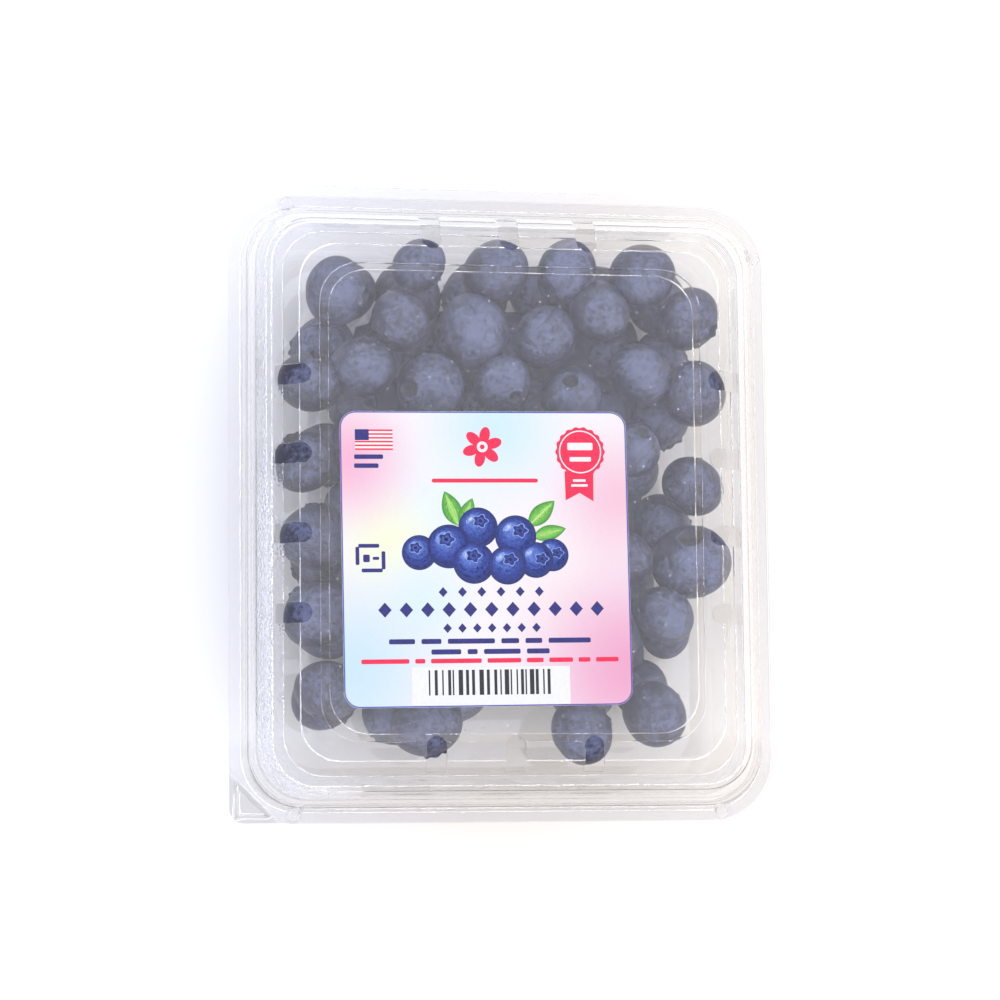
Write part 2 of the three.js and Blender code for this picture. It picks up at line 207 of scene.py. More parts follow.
# Bare spots of the tray's floor: centre x, centre y, radius.
BARE_SPOTS = [
    (44, -34, 8),
    (44, -50, 10),
    (4, -48, 11),
    (3, -35, 5),
    (24, -47, 6),
    (31, -34, 6),
    (-16.5, -46.5, 5),
    (-35, -49, 12),
    (-43, 54, 9),
    (44, 55, 9),
]

# The label, in millimetres from its own centre.
LABEL_WIDTH = 58.3
LABEL_LENGTH = 59.1
LABEL_RADIUS = 3.2
LABEL_FILM = 0.12
LABEL_CENTRE = (-5.8, -11.5)
LABEL_TURN_DEG = 0.7
LABEL_UNDERSIDE = LID_BASE + LID_RISE + 0.03
INK_STEP = 0.02

# The camera looks down on the lid from its lower left.
CAMERA_LEAN = (-0.19, -0.115)
CAMERA_DISTANCE = 650
SENSOR_WIDTH = 36
FRAME_WIDTH_AT_FLANGE = 204.5
FRAME_TARGET = (-0.3, 1.84)
SOFTBOX_DIRECTION = (0.185, 0.112, 0.976)
SOFTBOX_COLOUR = (0.93, 0.95, 1.08, 1)
WARM_SIDE = (0.8, -0.6, 0.0)
TENT_COOL = (0.82, 0.86, 0.92, 1)
TENT_WARM = (0.98, 0.91, 0.86, 1)
TENT_TOP = (1.0, 0.995, 0.99, 1)
# Ring lights: the slope of the sheet that mirrors each, its half width in degrees, its radiance.
RING_LIGHTS = [(14, 3.0, 36), (32.4, 2.1, 26)]
# They show only where the light has met fewer faces than this.
RING_DEPTH = 3.5


# ---------------------------------------------------------------- colours and nodes


def linear(hex_colour):
    """An sRGB hex value as linear red, green, blue and alpha."""
    channels = [int(hex_colour[i : i + 2], 16) / 255 for i in (1, 3, 5)]
    return tuple(c / 12.92 if c <= 0.04045 else ((c + 0.055) / 1.055) ** 2.4 for c in channels) + (1,)


def add(tree, kind, inputs=None, output=0, **settings):
    """Adds one shader node with its settings; each input is a value, or a socket to link from."""
    node = tree.nodes.new("ShaderNode" + kind)
    for name, value in settings.items():
        setattr(node, name, value)
    for name, value in (inputs or {}).items():
        socket = node.inputs[name]
        if isinstance(value, bpy.types.NodeSocket):
            tree.links.new(value, socket)
        else:
            socket.default_value = value
    return node.outputs[output]


def new_material(name):
    material = bpy.data.materials.new(name)
    material.use_nodes = True
    material.node_tree.nodes.clear()
    return material, material.node_tree


def show(tree, shader):
    output = tree.nodes.new("ShaderNodeOutputMaterial")
    tree.links.new(shader, output.inputs["Surface"])


# ---------------------------------------------------------------- materials

PET_IOR = 1.57
FILM_IOR = 1.49
# The light that passes a clear face, a face with painted shade, and a plain sheet.
SHEET_BODY = linear("#fefefe")
PAINTED_SHADE_BODY = linear("#eae9e9")
PLAIN_SHEET = linear("#f9f9f9")
# Light that has met more faces than this counts as trapped in the sheet.
TRAPPED_DEPTH = 8.5


def clear_pet_material():
    """Thermoformed PET sheet: it mirrors a little, more at a slant, and its creases bend the light aside."""
    material, tree = new_material("thermoformed_pet")
    place = add(tree, "TexCoord", output="Object")
    frost = add(tree, "Attribute", output="Fac", attribute_name="frost")
    mist = add(tree, "Attribute", output="Fac", attribute_name="mist")
    rim = add(tree, "Attribute", output="Fac", attribute_name="rim")
    # Drawing the hot sheet over the mould leaves soft ripples about 9 mm apart.
    ripple = add(tree, "TexNoise", {"Vector": place, "Scale": 1 / (9 * MM), "Detail": 1.0})
    soft = add(tree, "Bump", {"Height": ripple, "Strength": 0.03, "Distance": 0.2 * MM})
    # The mould's stippled band prints grains about 0.5 mm apart.
    grains = add(tree, "TexVoronoi", {"Vector": place, "Scale": 1 / (0.5 * MM)})
    stipple = add(tree, "Math", {0: grains, 1: frost}, operation="MULTIPLY")
    rough = add(tree, "Bump", {"Height": stipple, "Strength": 0.9, "Distance": 0.25 * MM, "Normal": soft})
    dullness = add(tree, "MapRange", {"Value": frost, "To Min": 0.0, "To Max": 0.3})
    # Painted shade: where the rim paint is set, the sheet passes less light, so the flanges, the lid's
    # front, the band's wall, the tray's floor and the hinge look darker.
    body = add(tree, "Mix", {"Factor": rim, 6: SHEET_BODY, 7: PAINTED_SHADE_BODY}, 2, data_type="RGBA")
    # Both faces of the sheet bend and mirror the light, so its rounded creases work as narrow lenses.
    optics = {"Color": body, "IOR": PET_IOR, "Roughness": dullness, "Normal": rough}
    sheet = add(tree, "BsdfGlass", optics)
    haze = add(tree, "BsdfDiffuse", {"Color": linear("#e6e9f6"), "Normal": rough})
    # Breath of the fruit and rubbed wax leave a faint haze on the panel, with specks about 1 mm apart.
    specks = add(tree, "TexNoise", {"Vector": place, "Scale": 1 / (1.2 * MM), "Detail": 2.0})
    haze_range = {"From Min": 0.4, "From Max": 0.7, "To Min": 0.002, "To Max": 0.03}
    speckled = add(tree, "MapRange", {"Value": specks, **haze_range})
    # Dust and dried drops, about 0.5 mm wide, lie some 5 mm apart.
    dust = add(tree, "TexVoronoi", {"Vector": place, "Scale": 1 / (5 * MM)}, voronoi_dimensions="2D")
    dot_range = {"From Min": 0.02, "From Max": 0.055, "To Min": 16.0, "To Max": 1.0}
    dots = add(tree, "MapRange", {"Value": dust, **dot_range})
    dusty = add(tree, "Math", {0: speckled, 1: dots}, operation="MULTIPLY")
    haziness = add(tree, "Math", {0: dusty, 1: mist}, operation="MULTIPLY")
    # The stippled grains scatter a little light, so the band looks frosted.
    frosted = add(tree, "Math", {0: stipple, 1: 0.5, 2: haziness}, operation="MULTIPLY_ADD")
    formed = add(tree, "MixShader", {0: frosted, 1: sheet, 2: haze})
    # Light that has been scattered, or trapped in the sheet, meets a plain clear sheet.
    path = add(tree, "LightPath").node.outputs
    seen = add(tree, "Math", {0: path["Is Camera Ray"], 1: path["Is Singular Ray"]}, operation="MAXIMUM")
    straight = add(tree, "Math", {0: seen, 1: path["Is Transmission Ray"]}, operation="MAXIMUM")
    early = add(tree, "Math", {0: path["Ray Depth"], 1: TRAPPED_DEPTH}, operation="LESS_THAN")
    bent = add(tree, "Math", {0: straight, 1: early}, operation="MULTIPLY")
    plain = add(tree, "BsdfTransparent", {"Color": PLAIN_SHEET})
    show(tree, add(tree, "MixShader", {0: bent, 1: plain, 2: formed}))
    return material


def berry_skin_material():
    """Blueberry skin: nearly black blue under a pale wax bloom that handling has rubbed off in patches."""
    material, tree = new_material("blueberry_skin")
    place = add(tree, "TexCoord", output="Object")
    tone = add(tree, "Attribute", output="Fac", attribute_name="tone")
    crown = add(tree, "Attribute", output="Fac", attribute_name="crown")
    painted_top_light = add(tree, "Attribute", output="Fac", attribute_name="painted_top_light")
    # Every berry has its own tone, which also moves it to its own part of the patterns.
    shift = add(tree, "Math", {0: tone, 1: 40.0}, operation="MULTIPLY")
    seat = {"Vector": place, "W": shift}
    # Rubbed patches are about 5 mm across.
    rubbed = {**seat, "Scale": 1 / (5 * MM), "Detail": 5.0, "Roughness": 0.78}
    patches = add(tree, "TexNoise", rubbed, noise_dimensions="4D")
    # Fingers and neighbours leave blotches about 1.3 mm across.
    pressed = {**seat, "Scale": 1 / (1.3 * MM), "Detail": 3.0, "Roughness": 0.7, "Distortion": 0.6}
    blotches = add(tree, "TexNoise", pressed, noise_dimensions="4D")
    # Grains of wax are about 0.6 mm across.
    grains = add(tree, "TexNoise", {**seat, "Scale": 1 / (0.6 * MM), "Detail": 2.0}, noise_dimensions="4D")
    level = add(tree, "MapRange", {"Value": tone, "To Min": 0.05, "To Max": -0.05})
    # Painted light and shade: more bloom on the upper side and less on the flanks, so the tops look lit from
    # above and the flanks shaded.
    light_and_shade_range = {"From Min": 0.3, "From Max": 1.0, "To Min": -0.16, "To Max": 0.05}
    painted_light_and_shade = add(tree, "MapRange", {"Value": painted_top_light, **light_and_shade_range}, interpolation_type="SMOOTHSTEP")
    shaded = add(tree, "Math", {0: painted_light_and_shade, 1: level}, operation="ADD")
    lifted = add(tree, "Math", {0: patches, 1: shaded}, operation="ADD")
    mottled = add(tree, "Math", {0: blotches, 1: 0.9, 2: lifted}, operation="MULTIPLY_ADD")
    bloom_range = {"From Min": 0.74, "From Max": 1.18, "To Min": 0.1, "To Max": 0.95}
    bloom = add(tree, "MapRange", {"Value": mottled, **bloom_range}, interpolation_type="SMOOTHSTEP")
    grain_range = {"From Min": 0.3, "From Max": 0.7, "To Min": 0.8, "To Max": 1.12}
    speckled = add(tree, "MapRange", {"Value": grains, **grain_range})
    cover = add(tree, "Math", {0: bloom, 1: speckled}, operation="MULTIPLY")
    bare = {"Factor": tone, 6: linear("#12152a"), 7: linear("#1a1626")}
    skin = add(tree, "Mix", bare, 2, data_type="RGBA")
    waxed = add(tree, "Mix", {"Factor": cover, 6: skin, 7: linear("#676d90")}, 2, data_type="RGBA")
    # The dried flower's crown is a brown rim round a dark pit.
    crowned = add(tree, "Mix", {"Factor": crown, 6: waxed, 7: linear("#232129")}, 2, data_type="RGBA")
    roughness = add(tree, "MapRange", {"Value": cover, "To Min": 0.42, "To Max": 0.75})
    bump = add(tree, "Bump", {"Height": grains, "Strength": 0.25, "Distance": 0.08 * MM})
    finish = {"Base Color": crowned, "Roughness": roughness, "IOR": 1.45, "Normal": bump}
    show(tree, add(tree, "BsdfPrincipled", finish))
    return material


def deep_berry_material():
    """Berries deep in the heap: the same skin in shade, so that no light shows through the heap."""
    material, tree = new_material("shaded_berry_skin")
    place = add(tree, "TexCoord", output="Object")
    # The shade's mottle is about half a berry across.
    mottle = add(tree, "TexNoise", {"Vector": place, "Scale": 1 / (6 * MM), "Detail": 3.0})
    shades = {"Factor": mottle, 6: linear("#171a28"), 7: linear("#39405a")}
    colour = add(tree, "Mix", shades, 2, data_type="RGBA")
    show(tree, add(tree, "BsdfPrincipled", {"Base Color": colour, "Roughness": 0.75}))
    return material


# Soft fields of the label's background: centre x and y, reach in millimetres, colour.
LABEL_FIELDS = [
    (14, -4, 20, "#faf3f4"),
    (2, 26, 19, "#d4effa"),
    (-9, 9, 17, "#eaf6fb"),
    (-20, 3, 15, "#f8fbdf"),
    (-12, -8, 14, "#e2f3fb"),
    (-28, 20, 18, "#f7bad5"),
    (-28, -22, 26, "#cde8f6"),
    (27, 12, 19, "#f7c9db"),
    (29, -22, 31, "#f0a9cb"),
]


def label_film_material():
    """Coated polypropylene label film: a satin print of soft pastel fields that run into each other."""
    material, tree = new_material("printed_label_film")
    place = add(tree, "TexCoord", output="Object")
    flat = add(tree, "VectorMath", {0: place, 1: (1, 1, 0)}, operation="MULTIPLY")
    colour = linear("#f7f3f8")
    for x, y, reach, hex_colour in LABEL_FIELDS:
        x, y, _ = label_place(x, y, 0)
        spot = (x * MM, (y + PACK_SHIFT_Y) * MM, 0)
        away = add(tree, "VectorMath", {0: flat, 1: spot}, "Value", operation="DISTANCE")
        fade_out = {"From Min": 0.0, "From Max": reach * MM, "To Min": 1.0, "To Max": 0.0}
        share = add(tree, "MapRange", {"Value": away, **fade_out}, interpolation_type="SMOOTHSTEP")
        field = {"Factor": share, 6: colour, 7: linear(hex_colour)}
        colour = add(tree, "Mix", field, 2, data_type="RGBA")
    # The print's dots are about 0.15 mm apart, and are drawn at 0.4 mm so that they show.
    dots = add(tree, "TexNoise", {"Vector": place, "Scale": 1 / (0.4 * MM), "Detail": 1.0})
    tint = add(tree, "MapRange", {"Value": dots, "To Min": 0.755, "To Max": 0.80})
    printed = add(tree, "VectorMath", {0: colour, "Scale": tint}, operation="SCALE")
    # The film lies over the lid's skin in soft waves about 2.5 mm apart.
    waves = add(tree, "TexNoise", {"Vector": place, "Scale": 1 / (2.5 * MM), "Detail": 3.0})
    bump = add(tree, "Bump", {"Height": waves, "Strength": 0.12, "Distance": 0.1 * MM})
    finish = {"Base Color": printed, "Roughness": 0.42, "IOR": FILM_IOR, "Normal": bump}
    show(tree, add(tree, "BsdfPrincipled", finish))
    return material


def label_back_material():
    """The label film's back: white, with a clear coat of adhesive that is a little uneven."""
    material, tree = new_material("adhesive_label_back")
    place = add(tree, "TexCoord", output="Object")
    # The coat's streaks are about 3 mm apart.
    streaks = add(tree, "TexNoise", {"Vector": place, "Scale": 1 / (3 * MM), "Detail": 2.0})
    whites = {"Factor": streaks, 6: linear("#e9e8ea"), 7: linear("#dfdee1")}
    colour = add(tree, "Mix", whites, 2, data_type="RGBA")
    show(tree, add(tree, "BsdfPrincipled", {"Base Color": colour, "Roughness": 0.5}))
    return material


def ink_material(name, hex_colour, deep_hex):
    """Flexographic ink on the label film: an even field with a slight mottle from the plate."""
    material, tree = new_material("flexo_ink_" + name)
    place = add(tree, "TexCoord", output="Object")
    # The plate's mottle is about 0.8 mm across.
    mottle = add(tree, "TexNoise", {"Vector": place, "Scale": 1 / (0.8 * MM), "Detail": 2.0})
    share = add(tree, "MapRange", {"Value": mottle, "From Min": 0.35, "From Max": 0.65})
    shades = {"Factor": share, 6: linear(hex_colour), 7: linear(deep_hex)}
    colour = add(tree, "Mix", shades, 2, data_type="RGBA")
    show(tree, add(tree, "BsdfPrincipled", {"Base Color": colour, "Roughness": 0.4, "IOR": FILM_IOR}))
    return material


def shaded_ink_material(name, shades):
    """A printed picture in one ink family: dense dots where it is deep, sparse ones where it is pale."""
    material, tree = new_material("flexo_picture_" + name)
    place = add(tree, "TexCoord", output="Object")
    shade = add(tree, "Attribute", output="Fac", attribute_name="shade")
    # The picture's mottle is about 0.5 mm across.
    mottle = add(tree, "TexNoise", {"Vector": place, "Scale": 1 / (0.5 * MM), "Detail": 3.0})
    spread_range = {"From Min": 0.3, "From Max": 0.7, "To Min": -0.1, "To Max": 0.1}
    spread = add(tree, "MapRange", {"Value": mottle, **spread_range})
    level = add(tree, "Math", {0: shade, 1: spread}, operation="ADD", use_clamp=True)
    colour = add(tree, "ValToRGB", {"Fac": level})
    stops = colour.node.color_ramp.elements
    while len(stops) < len(shades):
        stops.new(0.5)
    for stop, (position, hex_colour) in zip(stops, shades):
        stop.position = position
        stop.color = linear(hex_colour)
    show(tree, add(tree, "BsdfPrincipled", {"Base Color": colour, "Roughness": 0.4, "IOR": FILM_IOR}))
    return material


def sweep_material():
    """The studio's white paper sweep, with its faint tooth and a painted tint of warm and cool light."""
    material, tree = new_material("white_paper_sweep")
    place = add(tree, "TexCoord", output="Object")
    # The paper's tooth is far finer, and is drawn as clouds about 30 mm across so that it shows.
    tooth = add(tree, "TexNoise", {"Vector": place, "Scale": 1 / (30 * MM), "Detail": 3.0})
    # Painted light: the paper is tinted a little warm on the front right and cool on the rest, as the
    # studio's warm and cool sides would light it.
    across = add(tree, "VectorMath", {0: place, 1: (1, -0.2, 0)}, "Value", operation="DOT_PRODUCT")
    painted_warm_light = add(tree, "MapRange", {"Value": across, "From Min": -45 * MM, "From Max": 10 * MM})
    painted_light_tints = {"Factor": painted_warm_light, 6: linear("#f8faff"), 7: linear("#fffaf3")}
    tint = add(tree, "Mix", painted_light_tints, 2, data_type="RGBA")
    toothed = {"Factor": tooth, 6: tint, 7: linear("#fcfcfd")}
    colour = add(tree, "Mix", toothed, 2, data_type="RGBA", blend_type="MULTIPLY")
    show(tree, add(tree, "BsdfDiffuse", {"Color": colour}))
    return material


# ---------------------------------------------------------------- meshes


def ease(t):
    """0 below 0, 1 above 1, and a smooth step between."""
    t = np.clip(t, 0, 1)
    return t * t * (3 - 2 * t)


def fade(value, start, end):
    """0 at the start, 1 at the end, and straight between."""
    return np.clip((value - start) / (end - start), 0, 1)


def turned_place(x, y, along, across, turn):
    """The point this far along and across a direction from x and y."""
    cos, sin = math.cos(turn), math.sin(turn)
    return (x + along * cos - across * sin, y + along * sin + across * cos)


def make_object(name, vertices, faces, material, smooth=True):
    """A mesh object from points in millimetres, moved from the pack's middle to the frame's origin."""
    shifted = [(x * MM, (y + PACK_SHIFT_Y) * MM, z * MM) for x, y, z in vertices]
    mesh = bpy.data.meshes.new(name)
    mesh.from_pydata(shifted, [], faces)
    mesh.validate()
    piece = bpy.data.objects.new(name, mesh)
    bpy.context.scene.collection.objects.link(piece)
    mesh.materials.append(material)
    if smooth:
        mesh.polygons.foreach_set("use_smooth", [True] * len(mesh.polygons))
    return piece


def apply_modifiers(piece):
    """Makes the piece's evaluated mesh its own mesh."""
    evaluated = piece.evaluated_get(bpy.context.evaluated_depsgraph_get())
    mesh = bpy.data.meshes.new_from_object(evaluated)
    piece.modifiers.clear()
    piece.data = mesh


def sharpen(piece, degrees):
    """Marks the edges that turn by more than this as sharp."""
    mesh = bmesh.new()
    mesh.from_mesh(piece.data)
    for face in mesh.faces:
        face.smooth = True
    for edge in mesh.edges:
        edge.smooth = len(edge.link_faces) == 2 and edge.calc_face_angle(0) < math.radians(degrees)
    mesh.to_mesh(piece.data)
    mesh.free()


def rounded_section(points):
    """A section with each corner that has a fillet radius turned into a short arc."""
    result = []
    for number, (x, z, radius, *rest) in enumerate(points):
        if radius == 0 or number in (0, len(points) - 1):
            result.append((x, z, *rest))
            continue
        here = Vector((x, z))
        back = Vector(points[number - 1][:2]) - here
        ahead = Vector(points[number + 1][:2]) - here
        angle = back.angle(ahead)
        most = FILLET_SHARE * min(back.length, ahead.length)
        cut = min(radius / math.tan(angle / 2), most)
        start = here + back.normalized() * cut
        end = here + ahead.normalized() * cut
        before = here + back.normalized() * min(cut + FILLET_GUARD, back.length * GUARDED_SHARE)
        after = here + ahead.normalized() * min(cut + FILLET_GUARD, ahead.length * GUARDED_SHARE)
        result.append((before.x, before.y, *rest))
        for step in range(FILLET_STEPS + 1):
            t = step / FILLET_STEPS
            point = start * (1 - t) ** 2 + here * 2 * t * (1 - t) + end * t**2
            result.append((point.x, point.y, *rest))
        result.append((after.x, after.y, *rest))
    return result


def other_face(section, thickness):
    """The sheet's other face: every section point moved square to the section."""
    normals = []
    for (x0, z0, *_), (x1, z1, *_) in zip(section, section[1:]):
        length = math.hypot(x1 - x0, z1 - z0)
        normals.append(((z1 - z0) / length, -(x1 - x0) / length))
    moved = []
    for number, (x, z, *rest) in enumerate(section):
        before = normals[max(number - 1, 0)]
        after = normals[min(number, len(normals) - 1)]
        total = (before[0] + after[0], before[1] + after[1])
        scale = 2 * thickness / (total[0] ** 2 + total[1] ** 2)
        moved.append((x + total[0] * scale, z + total[1] * scale, *rest))
    return moved


def corner_radius(inset):
    """The radius of a ring's corners, which tightens from the rim inwards."""
    share = min(inset / RADIUS_FADE, 1)
    return RIM_RADIUS + (INNER_RADIUS - RIM_RADIUS) * share


def flute_share(along, centres):
    """How far a wall's point at this place is pushed in by the nearest flute, from 0 to 1."""
    near = min(abs(along - centre) for centre in centres)
    return ease((FLUTE_WIDTH / 2 - near) / FLUTE_EDGE)


def side_places(half):
    """Places along a straight wall of this half length, about one step apart."""
    count = int(2 * half / SIDE_STEP)
    return [-half + 2 * half * i / count for i in range(count + 1)]


# Half lengths of the straight walls, on which every ring has points at the same places.
STRAIGHT_X = PACK_WIDTH / 2 - INNERMOST_INSET - INNER_RADIUS
STRAIGHT_Y = PACK_LENGTH / 2 - INNERMOST_INSET * Y_INSET_SHARE - INNER_RADIUS


def from_tab_corner(x, y):
    """How far a point is from the tab's square corner, along X and Y together."""
    return (x + PACK_WIDTH / 2) + (y + PACK_LENGTH / 2)


def ring(inset, z, flute=0, tab_share=0, trim=0):
    """One rounded rectangle round the pack; its front left corner is squared by a share, or trimmed."""
    half_x = PACK_WIDTH / 2 - inset
    half_y = PACK_LENGTH / 2 - inset * Y_INSET_SHARE
    points = []
    for side in range(4):
        along_x = side % 2 == 1
        out, reach = (half_y, half_x) if along_x else (half_x, half_y)
        centres = FLUTES_ON_X_WALLS if along_x else FLUTES_ON_Y_WALLS
        straight, next_straight = (STRAIGHT_X, STRAIGHT_Y) if along_x else (STRAIGHT_Y, STRAIGHT_X)
        radius = corner_radius(inset)
        if side == 2:
            radius += (TAB_RADIUS - radius) * tab_share
        places = side_places(straight)
        local = [(out - flute * FLUTE_DEPTH * flute_share(place, centres), place) for place in places]
        # The leads between a straight wall and its corners have points that crowd towards the corner.
        lead = reach - radius - straight
        next_lead = out - radius - next_straight
        steps = range(1, LEAD_STEPS)
        local += [(out, straight + lead * (1 - (1 - step / LEAD_STEPS) ** 2)) for step in steps]
        for step in range(CORNER_STEPS + 1):
            angle = math.pi / 2 * step / CORNER_STEPS
            u, v = radius * math.cos(angle), radius * math.sin(angle)
            local.append((out - radius + u, reach - radius + v))
        local += [(out - radius - next_lead * (step / LEAD_STEPS) ** 2, reach) for step in steps]
        cos, sin = ((1, 0), (0, 1), (-1, 0), (0, -1))[side]
        points += [(x * cos - y * sin, x * sin + y * cos, z) for x, y in local]
    cuts = [max(trim - from_tab_corner(x, y), 0) / 2 for x, y, _ in points]
    return [(x + cut, y + cut, z) for (x, y, z), cut in zip(points, cuts)]


def loft(rings):
    """Points and faces of a closed solid through a stack of rings, with a flat fan at each end."""
    count = len(rings[0])
    points = [point for one in rings for point in one]
    faces = []
    for level in range(len(rings) - 1):
        for here in range(count):
            ahead = (here + 1) % count
            a, b = level * count + here, level * count + ahead
            faces.append((a, b, b + count, a + count))
    for level, reverse in ((0, True), (len(rings) - 1, False)):
        points.append((0, 0, rings[level][0][2]))
        centre = len(points) - 1
        for here in range(count):
            a, b = level * count + here, level * count + (here + 1) % count
            faces.append((centre, b, a) if reverse else (centre, a, b))
    return points, faces


def paint_attribute(piece, name, values):
    attribute = piece.data.attributes.new(name, "FLOAT", "POINT")
    attribute.data.foreach_set("value", values)


# ---------------------------------------------------------------- the pack


def cut_with(piece, cutter, operation):
    modifier = piece.modifiers.new("cut", "BOOLEAN")
    modifier.operation = operation
    modifier.solver = "EXACT"
    modifier.object = cutter
    apply_modifiers(piece)
    bpy.data.objects.remove(cutter)


def vent_places():
    """Every vent as x, y and the angle of its inward direction."""
    side_x = PACK_WIDTH / 2 - VENT_OUTER_INSET
    end_y = PACK_LENGTH / 2 - VENT_OUTER_INSET * Y_INSET_SHARE
    places = []
    for number in range(SIDE_VENTS):
        y = (number - (SIDE_VENTS - 1) / 2) * SIDE_VENT_PITCH + SIDE_VENT_SHIFT
        places += [(-side_x, y, 0), (side_x, y, math.pi)]
    for number in range(END_VENTS):
        x = (number - (END_VENTS - 1) / 2) * END_VENT_PITCH
        places += [
            (x, -end_y + END_VENT_SHIFT, math.pi / 2),
            (x, end_y + END_VENT_SHIFT, -math.pi / 2),
        ]
    return places


def vent_cutters(material):
    """All the vents' punches as one object: slots with a round inner end."""
    half = VENT_WIDTH / 2
    length = VENT_INNER_INSET - VENT_OUTER_INSET
    outline = [(0, -half)]
    for step in range(VENT_STEPS + 1):
        angle = -math.pi / 2 + math.pi * step / VENT_STEPS
        outline.append((length - half + half * math.cos(angle), half * math.sin(angle)))
    outline.append((0, half))
    points, faces = [], []
    count = len(outline)
    for x, y, angle in vent_places():
        start = len(points)
        for z in (LID_BASE + VENT_FOOT, LID_BASE + LID_RISE + 1):
            points += [(*turned_place(x, y, u, v, angle), z) for u, v in outline]
        faces.append(tuple(start + i for i in reversed(range(count))))
        faces.append(tuple(start + count + i for i in range(count)))
        for i in range(count):
            j = (i + 1) % count
            faces.append((start + i, start + j, start + count + j, start + count + i))
    return make_object("vent_punches", points, faces, material, smooth=False)


def lug_domes(material, shrink, skirt):
    """Four domes at the snap lugs' places, each on a straight skirt."""
    points, faces = [], []
    around, levels = 20, 8
    for cx, cy in LUG_PLACES:
        start = len(points)
        for level in range(levels):
            angle = math.pi / 2 * max(level - 1, 0) / (levels - 1)
            z = LUG_FOOT - (skirt if level == 0 else 0) + (LUG_HEIGHT - shrink) * math.sin(angle)
            for step in range(around):
                turn = 2 * math.pi * step / around
                radius = (LUG_RADIUS - shrink) * math.cos(angle)
                points.append((cx + radius * math.cos(turn), cy + radius * math.sin(turn), z))
        points.append((cx, cy, LUG_FOOT + LUG_HEIGHT - shrink))
        peak = len(points) - 1
        for level in range(levels - 1):
            for step in range(around):
                a = start + level * around + step
                b = start + level * around + (step + 1) % around
                faces.append((a, b, b + around, a + around))
        last = start + (levels - 1) * around
        for step in range(around):
            faces.append((last + step, last + (step + 1) % around, peak))
        faces.append(tuple(start + step for step in reversed(range(around))))
    return make_object("snap_lug_domes", points, faces, material)


def points_of(piece):
    """The piece's points as x, y and z in millimetres from the pack's middle."""
    places = np.empty(len(piece.data.vertices) * 3)
    piece.data.vertices.foreach_get("co", places)
    x, y, z = places.reshape(-1, 3).T / MM
    return x, y - PACK_SHIFT_Y, z


# Heights over the flange's underside where the stippled band sets in at its foot and at its head.
BAND_FOOT = (6.0, 6.5)
BAND_HEAD = (9.9, 9.5)
# Places along X or Y where each part of the paint sets in.
LEFT_FLANGE = (-44, -48)
FROST_ALONG_LEFT = (30, -6)
FROST_CORNER_X = (-30, -38)
FROST_CORNER_Y = (8, -4)
FRONT = (-46, -49)
FRONT_EDGE = (-52, -54)
# The band's frost at the pack's back, where it is weakest.
BACK_FROST = 0.45
# How much painted shade each part gets, from 0 to 1, and how much less the flanges get on the left.
LID_FLANGE_SHADE = 0.18
LID_LEFT_LESS_SHADE = 0.09
FRONT_SHADE = 0.26
FRONT_EDGE_MORE_SHADE = 0.14
BAND_WALL_SHADE = 0.14
TRAY_FLANGE_SHADE = 0.32
TRAY_LEFT_LESS_SHADE = 0.14
FLOOR_SHADE = 0.15


def left_side(x):
    """1 on the pack's left flange, 0 elsewhere."""
    return fade(x, *LEFT_FLANGE)


def paint_lid(piece):
    """Frost on the lower slope, strongest at the front left corner, mist on the panel, and painted shade on
    the flange, the front and the band's wall.
    """
    x, y, z = points_of(piece)
    height = z - LID_BASE
    band = fade(height, *BAND_FOOT) * fade(height, *BAND_HEAD)
    corner = fade(y, *FROST_CORNER_Y) * fade(x, *FROST_CORNER_X)
    along = np.maximum(fade(y, *FROST_ALONG_LEFT), BACK_FROST)
    frost = band * np.maximum(corner, left_side(x) * along)
    for cx, cy in LUG_PLACES:
        frost = np.maximum(frost, LUG_FROST * (np.hypot(x - cx, y - cy) < LUG_RADIUS + 0.05))
    panel = fade(height, LID_RISE - 0.5, LID_RISE - 0.1)
    # Painted shade on the flange, less on the left, on the front of the lid and on the band's wall.
    flange = fade(height, LID_FLANGE + 1.1, LID_FLANGE + 0.7)
    flange = flange * (LID_FLANGE_SHADE - LID_LEFT_LESS_SHADE * left_side(x))
    front_shade = fade(y, *FRONT) * (1 - panel)
    front_shade = front_shade * (FRONT_SHADE + FRONT_EDGE_MORE_SHADE * fade(y, *FRONT_EDGE))
    wall_shade = band * left_side(x) * BAND_WALL_SHADE
    paint_attribute(piece, "frost", frost.astype(np.float32))
    paint_attribute(piece, "mist", panel.astype(np.float32))
    paint_attribute(piece, "rim", np.maximum(np.maximum(flange, front_shade), wall_shade).astype(np.float32))


def make_lid(material):
    outer = rounded_section(LID_SECTION)
    inner = other_face(outer, SHEET)
    rings = [ring(inset, LID_BASE + z, trim=LID_TRIM) for inset, z, *_ in inner[::-1] + outer]
    points, faces = loft(rings)
    lid = make_object("lid_shell", points, faces, material)
    cut_with(lid, lug_domes(material, 0, 0.2), "UNION")
    cut_with(lid, lug_domes(material, SHEET, 1), "DIFFERENCE")
    cut_with(lid, vent_cutters(material), "DIFFERENCE")
    sharpen(lid, CREASE_DEG)
    paint_lid(lid)
    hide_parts("lid")
    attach(lid, "lid_body")


def emboss_height(x, y):
    """Height of the tab's raised triangle over a point of the flange."""
    u, v = x + PACK_WIDTH / 2, y + PACK_LENGTH / 2
    inside = min(u - TAB_EDGE, v - TAB_EDGE, (TAB_TRIANGLE - u - v) / math.sqrt(2))
    return TAB_EMBOSS * ease(inside / TAB_SLOPE)


